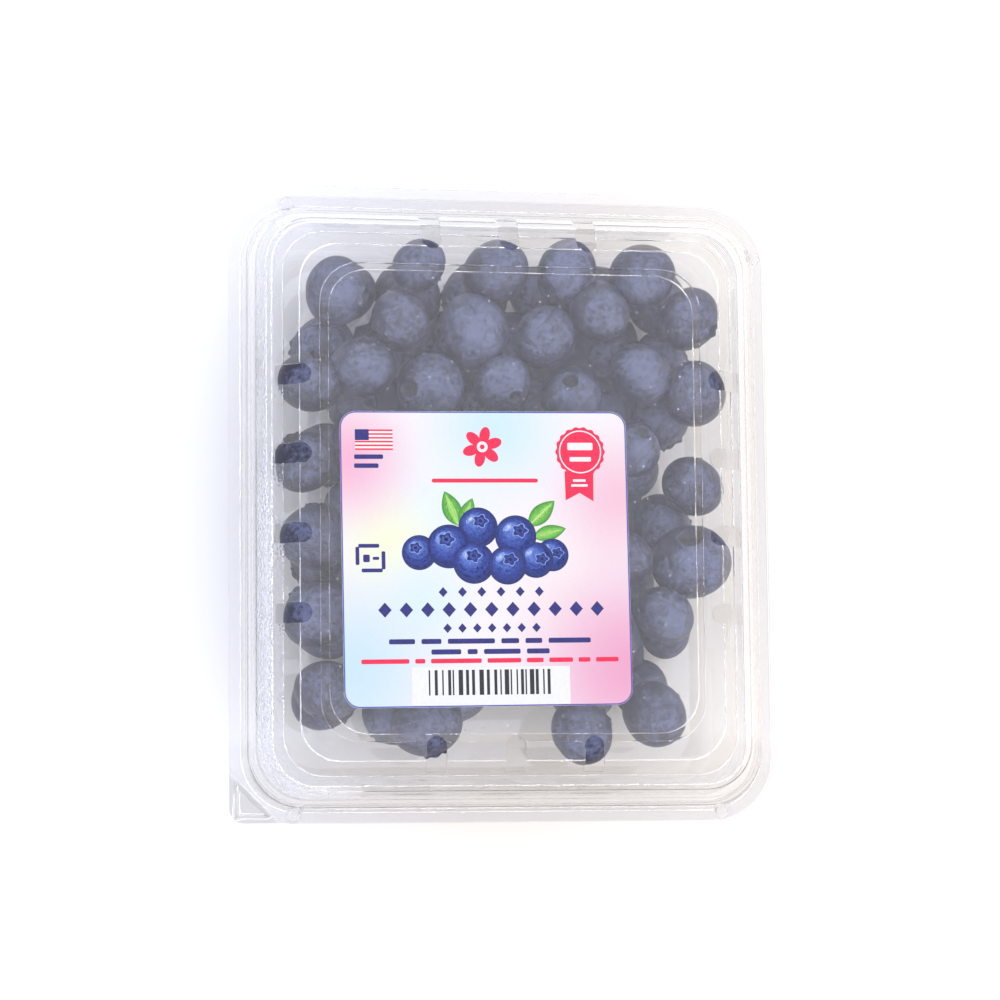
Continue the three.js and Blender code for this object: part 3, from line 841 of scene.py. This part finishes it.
def paint_tray(piece):
    """Painted shade on the flange, more on the tab, and a little on the floor."""
    x, y, z = points_of(piece)
    flat = fade(z, TRAY_DEPTH - 1, TRAY_DEPTH - 0.6)
    # Painted shade: on the flange, less on the left, on the whole tab, and on the floor.
    tab_shade = fade(from_tab_corner(x, y), TAB_TRIANGLE + 0.8, TAB_TRIANGLE + 0.2)
    under_bead = fade(z, TRAY_DEPTH + 0.9, TRAY_DEPTH + 0.6)
    flange = under_bead * (TRAY_FLANGE_SHADE - TRAY_LEFT_LESS_SHADE * left_side(x))
    floor = FLOOR_SHADE * (z < FLOOR_TOP + 1)
    rim = np.maximum(flat * np.maximum(flange, tab_shade), floor)
    paint_attribute(piece, "rim", rim.astype(np.float32))


def make_tray(material):
    inner = rounded_section(TRAY_SECTION)
    outer = other_face(inner, SHEET)
    flange = []
    for step in range(TAB_RINGS):
        share = step / TAB_RINGS
        inset = TRAY_FLANGE_EDGE + (TRAY_SECTION[0][0] - TRAY_FLANGE_EDGE) * share
        flat = ring(inset, TRAY_DEPTH, tab_share=1 - share)
        flange.append([(x, y, z + emboss_height(x, y)) for x, y, z in flat])
    under = [[(x, y, z - SHEET) for x, y, z in one] for one in flange]
    walls_inside = [ring(inset, z, flute) for inset, z, flute in inner]
    walls_outside = [ring(inset, z, flute) for inset, z, flute in outer]
    points, faces = loft(walls_outside[::-1] + under[::-1] + flange + walls_inside)
    tray = make_object("tray_shell", points, faces, material)
    sharpen(tray, CREASE_DEG)
    paint_tray(tray)
    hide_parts("tray")
    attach(tray, "tray_body")


def make_hinge(material):
    """The living hinge: one strip that leaves the tray's flange, folds over and meets the lid's flange."""
    rim = PACK_LENGTH / 2
    low, high = TRAY_DEPTH - SHEET / 2, LID_BASE + LID_FLANGE - SHEET / 2
    middle, radius = (low + high) / 2, (high - low) / 2
    fold = rim + HINGE_REACH - HINGE_FOLD_GAP - radius - SHEET / 2
    path = [(rim - HINGE_LAP, low), (rim + HINGE_LAND, low)]
    for step in range(HINGE_FOLD_STEPS + 1):
        angle = -math.pi / 2 + math.pi * step / HINGE_FOLD_STEPS
        path.append((fold + radius * math.cos(angle), middle + radius * math.sin(angle)))
    path += [(rim + HINGE_LAND, high), (rim - HINGE_LAP, high)]
    outline = other_face(path, HINGE_HALF_SHEET) + other_face(path, -HINGE_HALF_SHEET)[::-1]
    count = len(outline)
    points, faces = [], []
    for column in range(HINGE_COLUMNS + 1):
        x = HINGE_LENGTH * (column / HINGE_COLUMNS - 0.5)
        points += [(x, y, z) for y, z in outline]
    for column in range(HINGE_COLUMNS):
        for i in range(count):
            a, b = column * count + i, column * count + (i + 1) % count
            faces.append((a, a + count, b + count, b))
    faces.append(tuple(range(count)))
    faces.append(tuple(HINGE_COLUMNS * count + i for i in reversed(range(count))))
    hinge = make_object("hinge_strip", points, faces, material)
    sharpen(hinge, CREASE_DEG)
    # Painted shade on the whole strip, as on the flanges.
    paint_attribute(hinge, "rim", [HINGE_SHADE] * len(hinge.data.vertices))
    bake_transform(hinge)


# ---------------------------------------------------------------- the berries


def seeded_random(seed):
    """Numbers from 0 to 1 that are the same on every run."""
    state = seed
    while True:
        state = (state * 1664525 + 1013904223) % 4294967296
        yield state / 4294967296


def keep_inside(berry, half_x, half_y):
    """Moves a berry inside a rounded room of these half sizes."""
    reach = berry["radius"] * FACET_SWELL
    spare_x, spare_y = half_x - reach, half_y - reach
    berry["x"] = min(max(berry["x"], -spare_x), spare_x)
    berry["y"] = min(max(berry["y"], -spare_y), spare_y)
    over_x = abs(berry["x"]) - (half_x - INNER_RADIUS)
    over_y = abs(berry["y"]) - (half_y - INNER_RADIUS)
    far = math.hypot(over_x, over_y)
    room = max(INNER_RADIUS - reach, 0)
    if over_x > 0 and over_y > 0 and far > room:
        berry["x"] -= math.copysign(over_x * (1 - room / far), berry["x"])
        berry["y"] -= math.copysign(over_y * (1 - room / far), berry["y"])


def spread_out(berries, half_x, half_y):
    """Pushes berries of one layer apart, in rounds, until they hardly overlap."""
    for _ in range(SPREAD_ROUNDS):
        for i, a in enumerate(berries):
            for b in berries[i + 1 :]:
                dx, dy = b["x"] - a["x"], b["y"] - a["y"]
                gap = math.hypot(dx, dy)
                over = (a["radius"] + b["radius"]) * CONTACT_SHARE - gap
                if over > 0:
                    a["x"] -= dx / gap * over * 0.5
                    a["y"] -= dy / gap * over * 0.5
                    b["x"] += dx / gap * over * 0.5
                    b["y"] += dy / gap * over * 0.5
        for berry in berries:
            keep_inside(berry, half_x, half_y)


def drawn_radius(draw):
    """A berry's radius, from half the smallest width to half the largest."""
    return (BERRY_SMALL + (BERRY_LARGE - BERRY_SMALL) * next(draw)) / 2


def lower_layer(draw):
    """Rows of berries on the tray's floor, shifted by turns, with the bare spots left out."""
    berries = []
    for row in range(LOWER_ROWS):
        for column in range(LOWER_COLUMNS):
            stagger = -0.25 if row % 2 == 0 else 0.25
            radius = drawn_radius(draw)
            x = (column - (LOWER_COLUMNS - 1) / 2 + stagger) * LOWER_PITCH + next(draw) * 2 - 1
            y = (row - (LOWER_ROWS - 1) / 2) * LOWER_ROW_PITCH + next(draw) * 2 - 1
            bare = any(math.hypot(x - sx, y - sy) < size for sx, sy, size in BARE_SPOTS)
            if not bare and abs(x) < LOWER_HALF_WIDTH and abs(y) < LOWER_HALF_LENGTH:
                berries.append({"x": x, "y": y, "z": FLOOR_TOP + radius, "radius": radius})
    spread_out(berries, LOWER_HALF_WIDTH, LOWER_HALF_LENGTH)
    return berries


def upper_layer(draw):
    """The berries round the label, and fillers under it wherever there is room."""
    berries = [{"x": x, "y": y, "z": 0, "radius": size / 2} for x, y, size in UPPER_BERRIES]
    grid = range(-FILLERS_EACH_WAY, FILLERS_EACH_WAY + 1)
    for row in grid:
        for column in grid:
            radius = drawn_radius(draw)
            x = (column + (0 if row % 2 == 0 else 0.5)) * FILLER_PITCH + next(draw) * 2 - 1
            y = row * FILLER_PITCH * FILLER_ROW_SHARE + FILLER_SHIFT_Y + next(draw) * 2 - 1
            free = all(
                math.hypot(x - other["x"], y - other["y"]) > (radius + other["radius"]) * FILLER_SPACE
                for other in berries
            )
            if free and abs(x) < FILLER_HALF_WIDTH and abs(y) < FILLER_HALF_LENGTH:
                berries.append({"x": x, "y": y, "z": 0, "radius": radius})
    return berries


def drop_onto(berry, placed):
    """Lowers a berry onto the ones that are already in place."""
    z = FLOOR_TOP + berry["radius"]
    for other in placed:
        across = math.hypot(berry["x"] - other["x"], berry["y"] - other["y"])
        reach = (berry["radius"] + other["radius"]) * CONTACT_SHARE
        if across < reach:
            z = max(z, other["z"] + math.sqrt(reach**2 - across**2))
    berry["z"] = min(z, HEAP_TOP - berry["radius"])


def heap_berries():
    draw = seeded_random(SEED)
    placed = lower_layer(draw)
    for berry in upper_layer(draw):
        keep_inside(berry, *UPPER_ROOM)
        drop_onto(berry, placed)
        placed.append(berry)
    for berry in placed:
        berry["turn"] = [next(draw) * math.pi, next(draw) * math.pi, next(draw) * math.pi * 2]
    return placed


BERRY_AROUND = 40
CROWN_ANGLES = [0.06, 0.12, 0.17, 0.21, 0.245, 0.28, 0.31, 0.34, 0.375, 0.42, 0.5]
BODY_ANGLES = [0.68, 0.84, 1.02, 1.2, 1.38, 1.56, 1.74, 1.92, 2.1, 2.28, 2.46, 2.62, 2.76, 2.88, 2.98, 3.06]


def berry_points(berry, draw):
    """Points of one berry about its axis Y, with the crown at +Y, and how much each belongs to the crown."""
    angles = np.array([0.0] + CROWN_ANGLES + BODY_ANGLES + [math.pi])[:, None]
    around = np.linspace(0, 2 * math.pi, BERRY_AROUND, endpoint=False)[None, :]
    crown_radius = 0.22 + 0.09 * next(draw)
    crown_turn = next(draw) * 6.28
    wobble = [next(draw) * 6.28 for _ in range(3)]
    across = np.sin(angles) * np.ones_like(around)
    top = (angles < math.pi / 2) * 1.0
    # Lengths are shares of the berry's radius: five lobes round a pit, a soft shoulder, a stalk's scar.
    lobes = 0.5 + 0.5 * np.cos(5 * around + crown_turn)
    edge = crown_radius * (1 + 0.08 * lobes)
    ridge = np.exp(-(((across - edge) / 0.045) ** 2)) * (0.045 + 0.055 * lobes) * top
    pit = ease((edge - across) / (0.55 * crown_radius)) * 0.14 * top
    shoulder = np.exp(-(((across - edge * 1.7) / 0.2) ** 2)) * 0.02 * top
    scar = np.exp(-((across / 0.12) ** 2)) * 0.05 * (1 - top)
    # No berry is quite round: two slow waves go round it.
    lumps = 1 + 0.014 * np.sin(2 * around + wobble[0]) * np.sin(angles)
    lumps = lumps + 0.01 * np.sin(3 * around + wobble[1]) * np.sin(2 * angles + wobble[2])
    radius = berry["radius"]
    height = (BERRY_SQUASH * np.cos(angles) * lumps + ridge - pit + shoulder + scar) * radius
    spread = (across * lumps + ridge * 0.25) * radius
    x, z = spread * np.cos(around), spread * np.sin(around)
    points = np.stack([x, height * np.ones_like(x), z], axis=-1)
    mask = np.clip((edge * 0.97 - across) / 0.06, 0, 1) * top
    return points, mask


def turned(points, turn, centre):
    """Points turned about X, then Y, then Z, and moved to the centre."""
    x, y, z = (Matrix.Rotation(angle, 3, axis) for angle, axis in zip(turn, "XYZ"))
    return points @ np.array(z @ y @ x).T + np.array(centre)


def make_berries(material):
    """The heap: every berry is rings of points from the crown's pit to the stalk's scar."""
    berries = heap_berries()
    draw = seeded_random(SEED + 1)
    points, faces, tones, crowns, painted_top_lights = [], [], [], [], []
    rings = len(CROWN_ANGLES) + len(BODY_ANGLES)
    for berry in berries:
        start = sum(len(part) for part in points)
        grid, mask = berry_points(berry, draw)
        grid = turned(grid.reshape(-1, 3), berry["turn"], (berry["x"], berry["y"], berry["z"]))
        grid = grid.reshape(rings + 2, BERRY_AROUND, 3)
        points.append(np.concatenate([grid[0, :1], grid[1:-1].reshape(-1, 3), grid[-1, :1]]))
        count = len(points[-1])
        # Each point's height in the berry, which sets its painted top light and flank shade.
        painted_top_lights += list((points[-1][:, 2] - berry["z"]) / berry["radius"])
        tones += [next(draw)] * count
        crowns += [1.0] + list(mask[1:-1].reshape(-1)) + [0.0]
        tail = start + 1 + (rings - 1) * BERRY_AROUND
        last = start + count - 1
        for step in range(BERRY_AROUND):
            ahead = (step + 1) % BERRY_AROUND
            faces.append((start, start + 1 + ahead, start + 1 + step))
            faces.append((last, tail + step, tail + ahead))
            for level in range(rings - 1):
                a = start + 1 + level * BERRY_AROUND + step
                b = start + 1 + level * BERRY_AROUND + ahead
                faces.append((a, b, b + BERRY_AROUND, a + BERRY_AROUND))
    heap = make_object("berry_heap", np.concatenate(points), faces, material)
    paint_attribute(heap, "tone", tones)
    paint_attribute(heap, "crown", crowns)
    paint_attribute(heap, "painted_top_light", painted_top_lights)
    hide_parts("blueberries")
    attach(heap, "tray_body")


# The core's outline: half width, half length, height.
CORE_LEVELS = [(26, 36, 5), (30, 40, 7), (30, 40, 10.5), (26, 36, 12)]
CORE_SHIFT = (1.5, 2.0)
CORE_RADIUS = 8
CORE_STEPS = 6


def make_heap_core(material):
    """The dark middle of the heap, behind the berries that show, in the skin with painted shade."""
    levels = []
    for half_x, half_y, z in CORE_LEVELS:
        outline = rounded_outline(2 * half_x, 2 * half_y, CORE_RADIUS, steps=CORE_STEPS)
        points = []
        for number, (x, y) in enumerate(outline):
            quarter, step = divmod(number, CORE_STEPS + 1)
            angle = math.pi / 2 * (quarter + step / CORE_STEPS)
            wave = 1 + 0.03 * math.sin(5 * angle + z)
            lift = 0.6 * math.sin(x * 0.5) * math.cos(y * 0.4)
            points.append((x * wave + CORE_SHIFT[0], y * wave + CORE_SHIFT[1], z + lift))
        levels.append(points)
    core = make_object("heap_core", *loft(levels), material)
    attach(core, "tray_body")


# ---------------------------------------------------------------- the label


def label_place(x, y, z):
    """A point of the label, from its own centre to the pack's frame."""
    return (*turned_place(*LABEL_CENTRE, x, y, math.radians(LABEL_TURN_DEG)), z)


def rounded_outline(width, length, radius, steps=8):
    points = []
    for quarter, (sx, sy) in enumerate(((1, 1), (-1, 1), (-1, -1), (1, -1))):
        for step in range(steps + 1):
            angle = math.pi / 2 * (quarter + step / steps)
            x = sx * (width / 2 - radius) + radius * math.cos(angle)
            y = sy * (length / 2 - radius) + radius * math.sin(angle)
            points.append((x, y))
    return points


def disc(x, y, radius, wave=0, waves=0, steps=40, squash=1, turn=0):
    """A round outline; waves scallop its edge by a share of its radius."""
    points = []
    for step in range(steps):
        angle = 2 * math.pi * step / steps
        reach = radius * (1 + wave * math.cos(waves * angle))
        points.append(turned_place(x, y, reach * math.cos(angle), reach * squash * math.sin(angle), turn))
    return points


def bar(x, y, width, height, radius=None):
    """A bar with round ends about its centre."""
    corner = min(height, width) / 2 if radius is None else radius
    return [(x + u, y + v) for u, v in rounded_outline(width, height, corner, steps=4)]


def leaf(x, y, length, width, turn):
    """A pointed leaf from its stalk end."""
    points = []
    steps = 12
    for side in (1, -1):
        for step in range(steps):
            t = step / steps if side == 1 else 1 - step / steps
            v = side * width / 2 * math.sin(math.pi * t) ** 0.8 * (1 - 0.25 * t)
            points.append(turned_place(x, y, length * t, v, turn))
    return points


# Shades of the printed fruit, from deep ink to the palest dots.
FRUIT_SHADES = [(0.0, "#141d52"), (0.3, "#24398c"), (0.6, "#4c68b8"), (0.85, "#93a8df"), (1.0, "#c3d0f2")]

# Discs that shade one printed berry's body.
BODY_DISCS = 9


def printed_berry(x, y, radius, turn):
    """The discs of one printed berry, from the back, each with its shade from 0 to 1."""
    discs = []
    for step in range(BODY_DISCS):
        t = step / (BODY_DISCS - 1)
        rise = 0.30 * radius * t
        body = disc(x - 0.6 * rise, y + rise, radius * (1 - 0.62 * t), squash=1 - 0.1 * t)
        discs.append((body, 0.08 + 0.5 * t))
    # A band of wax and a small gleam on the upper left.
    for scale, shade in ((0.30, 0.68), (0.2, 0.8), (0.1, 0.95)):
        gleam = disc(x - 0.36 * radius, y + 0.42 * radius, radius * scale, squash=0.6, turn=0.75)
        discs.append((gleam, shade))
    crown_x, crown_y = x + 0.34 * radius * math.cos(turn), y + 0.34 * radius * math.sin(turn)
    for scale, wave, shade in ((0.38, 0.16, 0.72), (0.32, 0.2, 0.12), (0.2, 0.1, 0.4), (0.1, 0, 0.05)):
        discs.append((disc(crown_x, crown_y, radius * scale, wave=wave, waves=5, squash=0.85), shade))
    return discs


LEAF_SHADES = [(0.0, "#3f8a32"), (0.5, "#6ab346"), (1.0, "#a3d672")]

# The printed fruit: centre x and y, radius, direction of the crown.
PRINTED_FRUIT = [
    (-13.6, 1.2, 3.5, 2.2),
    (13.4, 0.6, 3.3, 0.4),
    (-1.6, 6.2, 4.0, 1.2),
    (6.0, 4.4, 4.2, 0.9),
    (-7.6, 2.4, 4.4, 1.9),
    (10.0, -0.4, 3.6, 0.2),
    (-2.6, -0.9, 4.2, 1.6),
    (4.2, -1.4, 3.9, 1.1),
]

# The printed leaves: stalk x and y, length, width, direction.
PRINTED_LEAVES = [
    (-5.5, 6.5, 7.5, 4.4, 1.95),
    (-5.0, 6.0, 6.5, 3.6, 1.2),
    (8.6, 6.4, 7.5, 4.2, 0.75),
    (9.5, 4.2, 7.0, 3.6, 0.25),
]


def lozenge(x, y, width, height):
    return [(x - width / 2, y), (x, y - height / 2), (x + width / 2, y), (x, y + height / 2)]


def ornament_row(ink, y, height, count, pitch):
    """A row of lozenges about the label's middle line."""
    return [
        (ink, lozenge(0.8 + (number - (count - 1) / 2) * pitch, y, height * 0.9, height))
        for number in range(count)
    ]


def broken_bar(ink, y, height, words, middle=0.4):
    """A bar in pieces of the given lengths, a gap of one height and a bit between them."""
    gap = height * 1.3
    x = middle - (sum(words) + gap * (len(words) - 1)) / 2
    pieces = []
    for length in words:
        pieces.append((ink, bar(x + length / 2, y, length, height, radius=height * 0.3)))
        x += length + gap
    return pieces


# Places on the label: the flower's and the seal's middles.
FLOWER = (-0.4, 22.4)
PETALS = 6
PETAL_REACH = 2.4
SEAL = (19.6, 21.4)

# The barcode: the head of its white field, where its bars start and end, its narrowest bar.
BARCODE_HEAD = -21.6
BARCODE_SPAN = (-12.2, 12.4)
BARCODE_MODULE = 0.3
BARCODE_SEED = 7


def label_shapes():
    """What is printed on the label's fields beside the fruit, from the back, as (ink, outline)."""
    shapes = []
    # A small flower and a plain rule stand at the head of the label.
    x, y = FLOWER
    for petal in range(PETALS):
        angle = petal * 2 * math.pi / PETALS + 0.3
        petal_x, petal_y = turned_place(x, y, PETAL_REACH, 0, angle)
        shapes.append(("red", disc(petal_x, petal_y, 1.7, squash=0.62, turn=angle)))
    shapes += [("white", disc(x, y, 1.1)), ("red", disc(x, y, 0.5)), ("red", bar(0, 15.6, 21.6, 0.8))]
    # A scalloped seal with a pale ring, on a ribbon with a notched foot.
    x, y = SEAL
    shapes.append(("red", [(16.3, 17.5), (16.4, 11.6), (19.3, 13.1), (22.1, 11.4), (22.2, 17.5)]))
    shapes.append(("red", disc(x, y, 4.95, wave=0.03, waves=18, steps=108)))
    shapes.append(("white", disc(x, y, 4.35, steps=60)))
    shapes.append(("red", disc(x, y, 4.1, steps=60)))
    # Pale bars on the seal and its ribbon: x, y, width, height, radius of the ends.
    for place in (
        (x, 22.5, 5.2, 1.5, 0.3),
        (x, 19.9, 4.4, 0.9, 0.2),
        (19.3, 15.6, 2.6, 0.5, 0.1),
        (19.3, 14.6, 3.4, 0.5, 0.1),
    ):
        shapes.append(("white", bar(*place)))
    # Red and white stripes beside a blue field, over two short bars.
    shapes.append(("white", bar(-22.3, 23.8, 7.6, 4.2, 0.05)))
    for stripe in range(6):
        shapes.append(("red", bar(-22.3, 25.7 - stripe * 0.76, 7.6, 0.34, 0.02)))
    shapes.append(("navy", bar(-24.7, 24.8, 2.8, 2.2, 0.02)))
    shapes += [("navy", bar(-23.4, 20.4, 5.8, 0.9, 0.25)), ("navy", bar(-23.9, 18.6, 4.9, 0.9, 0.25))]
    # Rows of lozenges and broken bars of ink where a pack carries its wording.
    shapes += ornament_row("navy", -6.7, 2.0, 6, 3.9)
    shapes += ornament_row("navy", -10.2, 3.0, 11, 4.3)
    shapes += ornament_row("navy", -13.9, 1.9, 7, 3.0)
    shapes += broken_bar("navy", -16.5, 1.0, [5.2, 4.0, 9.5, 3.6, 3.4, 8.6])
    shapes += broken_bar("navy", -18.6, 1.0, [6.0, 2.0, 7.4, 4.6])
    shapes += broken_bar("red", -20.4, 0.9, [9.6, 2.0, 10.2, 6.8, 3.4, 4.8, 2.4, 4.6])
    # A square ring with two gaps, and two small marks in it: x, y, width, height.
    for place in (
        (-23.7, 2.6, 4.2, 0.75),
        (-23.1, -2.3, 4.2, 0.75),
        (-26.0, 0.6, 0.75, 3.6),
        (-20.8, -0.3, 0.75, 3.6),
        (-24.2, 0.1, 1.3, 1.5),
        (-22.3, 0.1, 1.3, 0.6),
    ):
        shapes.append(("navy", bar(*place, radius=0.25)))
    return shapes + barcode_shapes()


def barcode_shapes():
    """A white field at the label's foot with upright bars of random widths."""
    foot = -LABEL_LENGTH / 2 + 0.35
    field = bar(0.4, (foot + BARCODE_HEAD) / 2, 32, BARCODE_HEAD - foot, radius=0.1)
    shapes = [("white", field)]
    draw = seeded_random(BARCODE_SEED)
    x, end = BARCODE_SPAN
    while x < end:
        width = BARCODE_MODULE * (1 + int(next(draw) * 3))
        shapes.append(("black", bar(x + width / 2, -24.7, width, 5.0, radius=0.01)))
        x += width + BARCODE_MODULE * (1 + int(next(draw) * 2.6))
    return shapes


# Each ink's colour, and its deeper one where the plate printed more.
INKS = {
    "navy": ("#1f1f68", "#282878"),
    "red": ("#ec1f4c", "#df1a46"),
    "white": ("#dededf", "#d9dadd"),
    "black": ("#1c1c22", "#2a2a31"),
}
EDGE_INK = ("#4a55a8", "#3c4698")


def flat_piece(name, outlines, material):
    """Flat shapes as one mesh that rides with the lid: each outline is (points, height)."""
    points, faces = [], []
    for outline, z in outlines:
        start = len(points)
        points += [label_place(x, y, z) for x, y in outline]
        faces.append(tuple(range(start, len(points))))
    piece = make_object(name, points, faces, material, smooth=False)
    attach(piece, "lid_body")
    return piece


def shaded_piece(name, shapes, z, material):
    """Flat shapes as one mesh, each with its shade: every shape is (points, shade)."""
    outlines = [(outline, z + INK_STEP * 0.004 * number) for number, (outline, _) in enumerate(shapes)]
    piece = flat_piece(name, outlines, material)
    paint_attribute(piece, "shade", [shade for outline, shade in shapes for _ in outline])


def make_label(film_material):
    """The film, with its white back, and what is printed on it."""
    top = LABEL_UNDERSIDE + LABEL_FILM
    outline = rounded_outline(LABEL_WIDTH, LABEL_LENGTH, LABEL_RADIUS)
    count = len(outline)
    points = [label_place(x, y, z) for z in (LABEL_UNDERSIDE, top) for x, y in outline]
    faces = [tuple(reversed(range(count))), tuple(range(count, 2 * count))]
    for i in range(count):
        j = (i + 1) % count
        faces.append((i, j, count + j, count + i))
    label = make_object("label_film", points, faces, film_material, smooth=False)
    label.data.materials.append(label_back_material())
    label.data.polygons[0].material_index = 1
    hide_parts("label")
    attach(label, "lid_body")
    by_ink = {}
    for number, (ink, shape) in enumerate(label_shapes()):
        by_ink.setdefault(ink, []).append((shape, top + INK_STEP * (0.5 + number * 0.006)))
    for ink, shapes in by_ink.items():
        flat_piece("print_" + ink, shapes, ink_material(ink, *INKS[ink]))
    leaves, fruit = [], []
    for x, y, length, width, turn in PRINTED_LEAVES:
        for step in range(5):
            shape = leaf(x, y, length * (1 - 0.03 * step), width * (1 - 0.22 * step), turn)
            leaves.append((shape, step / 4))
    for berry in PRINTED_FRUIT:
        fruit += printed_berry(*berry)
    shaded_piece("print_leaves", leaves, top + INK_STEP * 0.5, shaded_ink_material("leaves", LEAF_SHADES))
    shaded_piece("print_fruit", fruit, top + INK_STEP * 0.7, shaded_ink_material("fruit", FRUIT_SHADES))
    make_label_edge(top + INK_STEP * 0.3)


def make_label_edge(z):
    """The thin dark line along the label's edge."""
    outer = rounded_outline(LABEL_WIDTH - 0.1, LABEL_LENGTH - 0.1, LABEL_RADIUS)
    inner = rounded_outline(LABEL_WIDTH - 0.6, LABEL_LENGTH - 0.6, LABEL_RADIUS - 0.25)
    count = len(outer)
    points = [label_place(x, y, z) for x, y in outer + inner]
    faces = [(i, (i + 1) % count, count + (i + 1) % count, count + i) for i in range(count)]
    line = make_object("print_edge_line", points, faces, ink_material("edge", *EDGE_INK), smooth=False)
    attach(line, "lid_body")


# ---------------------------------------------------------------- the studio


def make_floor():
    size = 3000
    points = [(-size, -size, 0), (size, -size, 0), (size, size, 0), (-size, size, 0)]
    floor = make_object("paper_sweep", points, [(0, 1, 2, 3)], sweep_material(), smooth=False)


def make_world():
    """A bright tent: white overhead, cooler and darker low on the left, warmer low on the right."""
    world = bpy.data.worlds.new("light_tent")
    world.use_nodes = True
    tree = world.node_tree
    tree.nodes.clear()
    direction = add(tree, "TexCoord", output="Generated")
    height = add(tree, "SeparateXYZ", {0: direction}, "Z")
    across = add(tree, "VectorMath", {0: direction, 1: WARM_SIDE}, "Value", operation="DOT_PRODUCT")
    side = add(tree, "MapRange", {"Value": across, "From Min": -0.6, "From Max": 0.6})
    low = add(tree, "Mix", {"Factor": side, 6: TENT_COOL, 7: TENT_WARM}, 2, data_type="RGBA")
    upward = {"Value": height, "From Min": 0.15, "From Max": 0.85}
    overhead = add(tree, "MapRange", upward, interpolation_type="SMOOTHSTEP")
    sky = add(tree, "Mix", {"Factor": overhead, 6: low, 7: TENT_TOP}, 2, data_type="RGBA")
    # The main softbox hangs where the flat panel mirrors it.
    glow = add(tree, "VectorMath", {0: direction, 1: SOFTBOX_DIRECTION}, "Value", operation="DOT_PRODUCT")
    softbox = {"Value": glow, "From Min": 0.80, "From Max": 0.93}
    share = add(tree, "MapRange", softbox, interpolation_type="SMOOTHSTEP")
    level = add(tree, "MapRange", {"Value": share, "To Min": 1.38, "To Max": 1.45})
    lit = add(tree, "Mix", {"Factor": share, 6: sky, 7: SOFTBOX_COLOUR}, 2, data_type="RGBA")
    # Narrow ring lights stand where the sheet's rounded creases mirror them, and nothing else does.
    middle = add(tree, "VectorMath", {0: direction, 1: camera_side()}, operation="ADD")
    mirror = add(tree, "VectorMath", {0: middle}, operation="NORMALIZE")
    upright = add(tree, "SeparateXYZ", {0: mirror}, "Z")
    slope = add(tree, "Math", {0: upright}, operation="ARCCOSINE")
    path = add(tree, "LightPath").node.outputs
    shallow = add(tree, "Math", {0: path["Ray Depth"], 1: RING_DEPTH}, operation="LESS_THAN")
    once = add(tree, "Math", {0: path["Is Singular Ray"], 1: shallow}, operation="MULTIPLY")
    total = level
    for degrees, half_width, strength in RING_LIGHTS:
        away = add(tree, "Math", {0: slope, 1: math.radians(degrees)}, operation="SUBTRACT")
        size = add(tree, "Math", {0: away}, operation="ABSOLUTE")
        edge = {"From Min": 0.0, "From Max": math.radians(half_width), "To Min": strength, "To Max": 0.0}
        ring_light = add(tree, "MapRange", {"Value": size, **edge}, interpolation_type="SMOOTHSTEP")
        sharp = add(tree, "Math", {0: ring_light, 1: once}, operation="MULTIPLY")
        total = add(tree, "Math", {0: total, 1: sharp}, operation="ADD")
    background = add(tree, "Background", {"Color": lit, "Strength": total})
    output = tree.nodes.new("ShaderNodeOutputWorld")
    tree.links.new(background, output.inputs["Surface"])
    world.cycles.sampling_method = "NONE"
    bpy.context.scene.world = world


def camera_side():
    """The direction from the pack to the camera."""
    return Vector((*CAMERA_LEAN, 1)).normalized()[:]


def make_camera():
    """A camera whose picture is as wide as the frame at the flange, leaning as the pack is seen."""
    scene = bpy.context.scene
    data = bpy.data.cameras.new("camera")
    data.sensor_width = SENSOR_WIDTH
    data.sensor_fit = "HORIZONTAL"
    data.lens = SENSOR_WIDTH * CAMERA_DISTANCE / FRAME_WIDTH_AT_FLANGE
    data.clip_end = 20
    camera = bpy.data.objects.new("camera", data)
    back = Vector(camera_side())
    # The picture's level is halfway between the pack's own X and what its Y asks for.
    from_x = (Vector((1, 0, 0)) - back * back.x).normalized()
    from_y = Vector((0, 1, 0)) - back * back.y
    right = (from_x + from_y.normalized().cross(back)).normalized()
    up = back.cross(right)
    target = Vector((FRAME_TARGET[0], FRAME_TARGET[1] + PACK_SHIFT_Y, TRAY_DEPTH)) * MM
    place = target + back * CAMERA_DISTANCE * MM
    camera.matrix_world = Matrix.Translation(place) @ Matrix((right, up, back)).transposed().to_4x4()
    scene.collection.objects.link(camera)
    scene.camera = camera


# ---------------------------------------------------------------- everything

pet = clear_pet_material()
make_tray(pet)
make_berries(berry_skin_material())
make_heap_core(deep_berry_material())
make_lid(pet)
make_hinge(pet)
make_label(label_film_material())
make_floor()
make_world()
make_camera()

scene = bpy.context.scene
scene.view_settings.view_transform = "Standard"
# Light meets many faces of the sheets before it leaves the shut pack.
scene.cycles.transparent_max_bounces = 20
scene.cycles.max_bounces = 16
scene.cycles.transmission_bounces = 16
scene.cycles.glossy_bounces = 14
scene.cycles.diffuse_bounces = 3
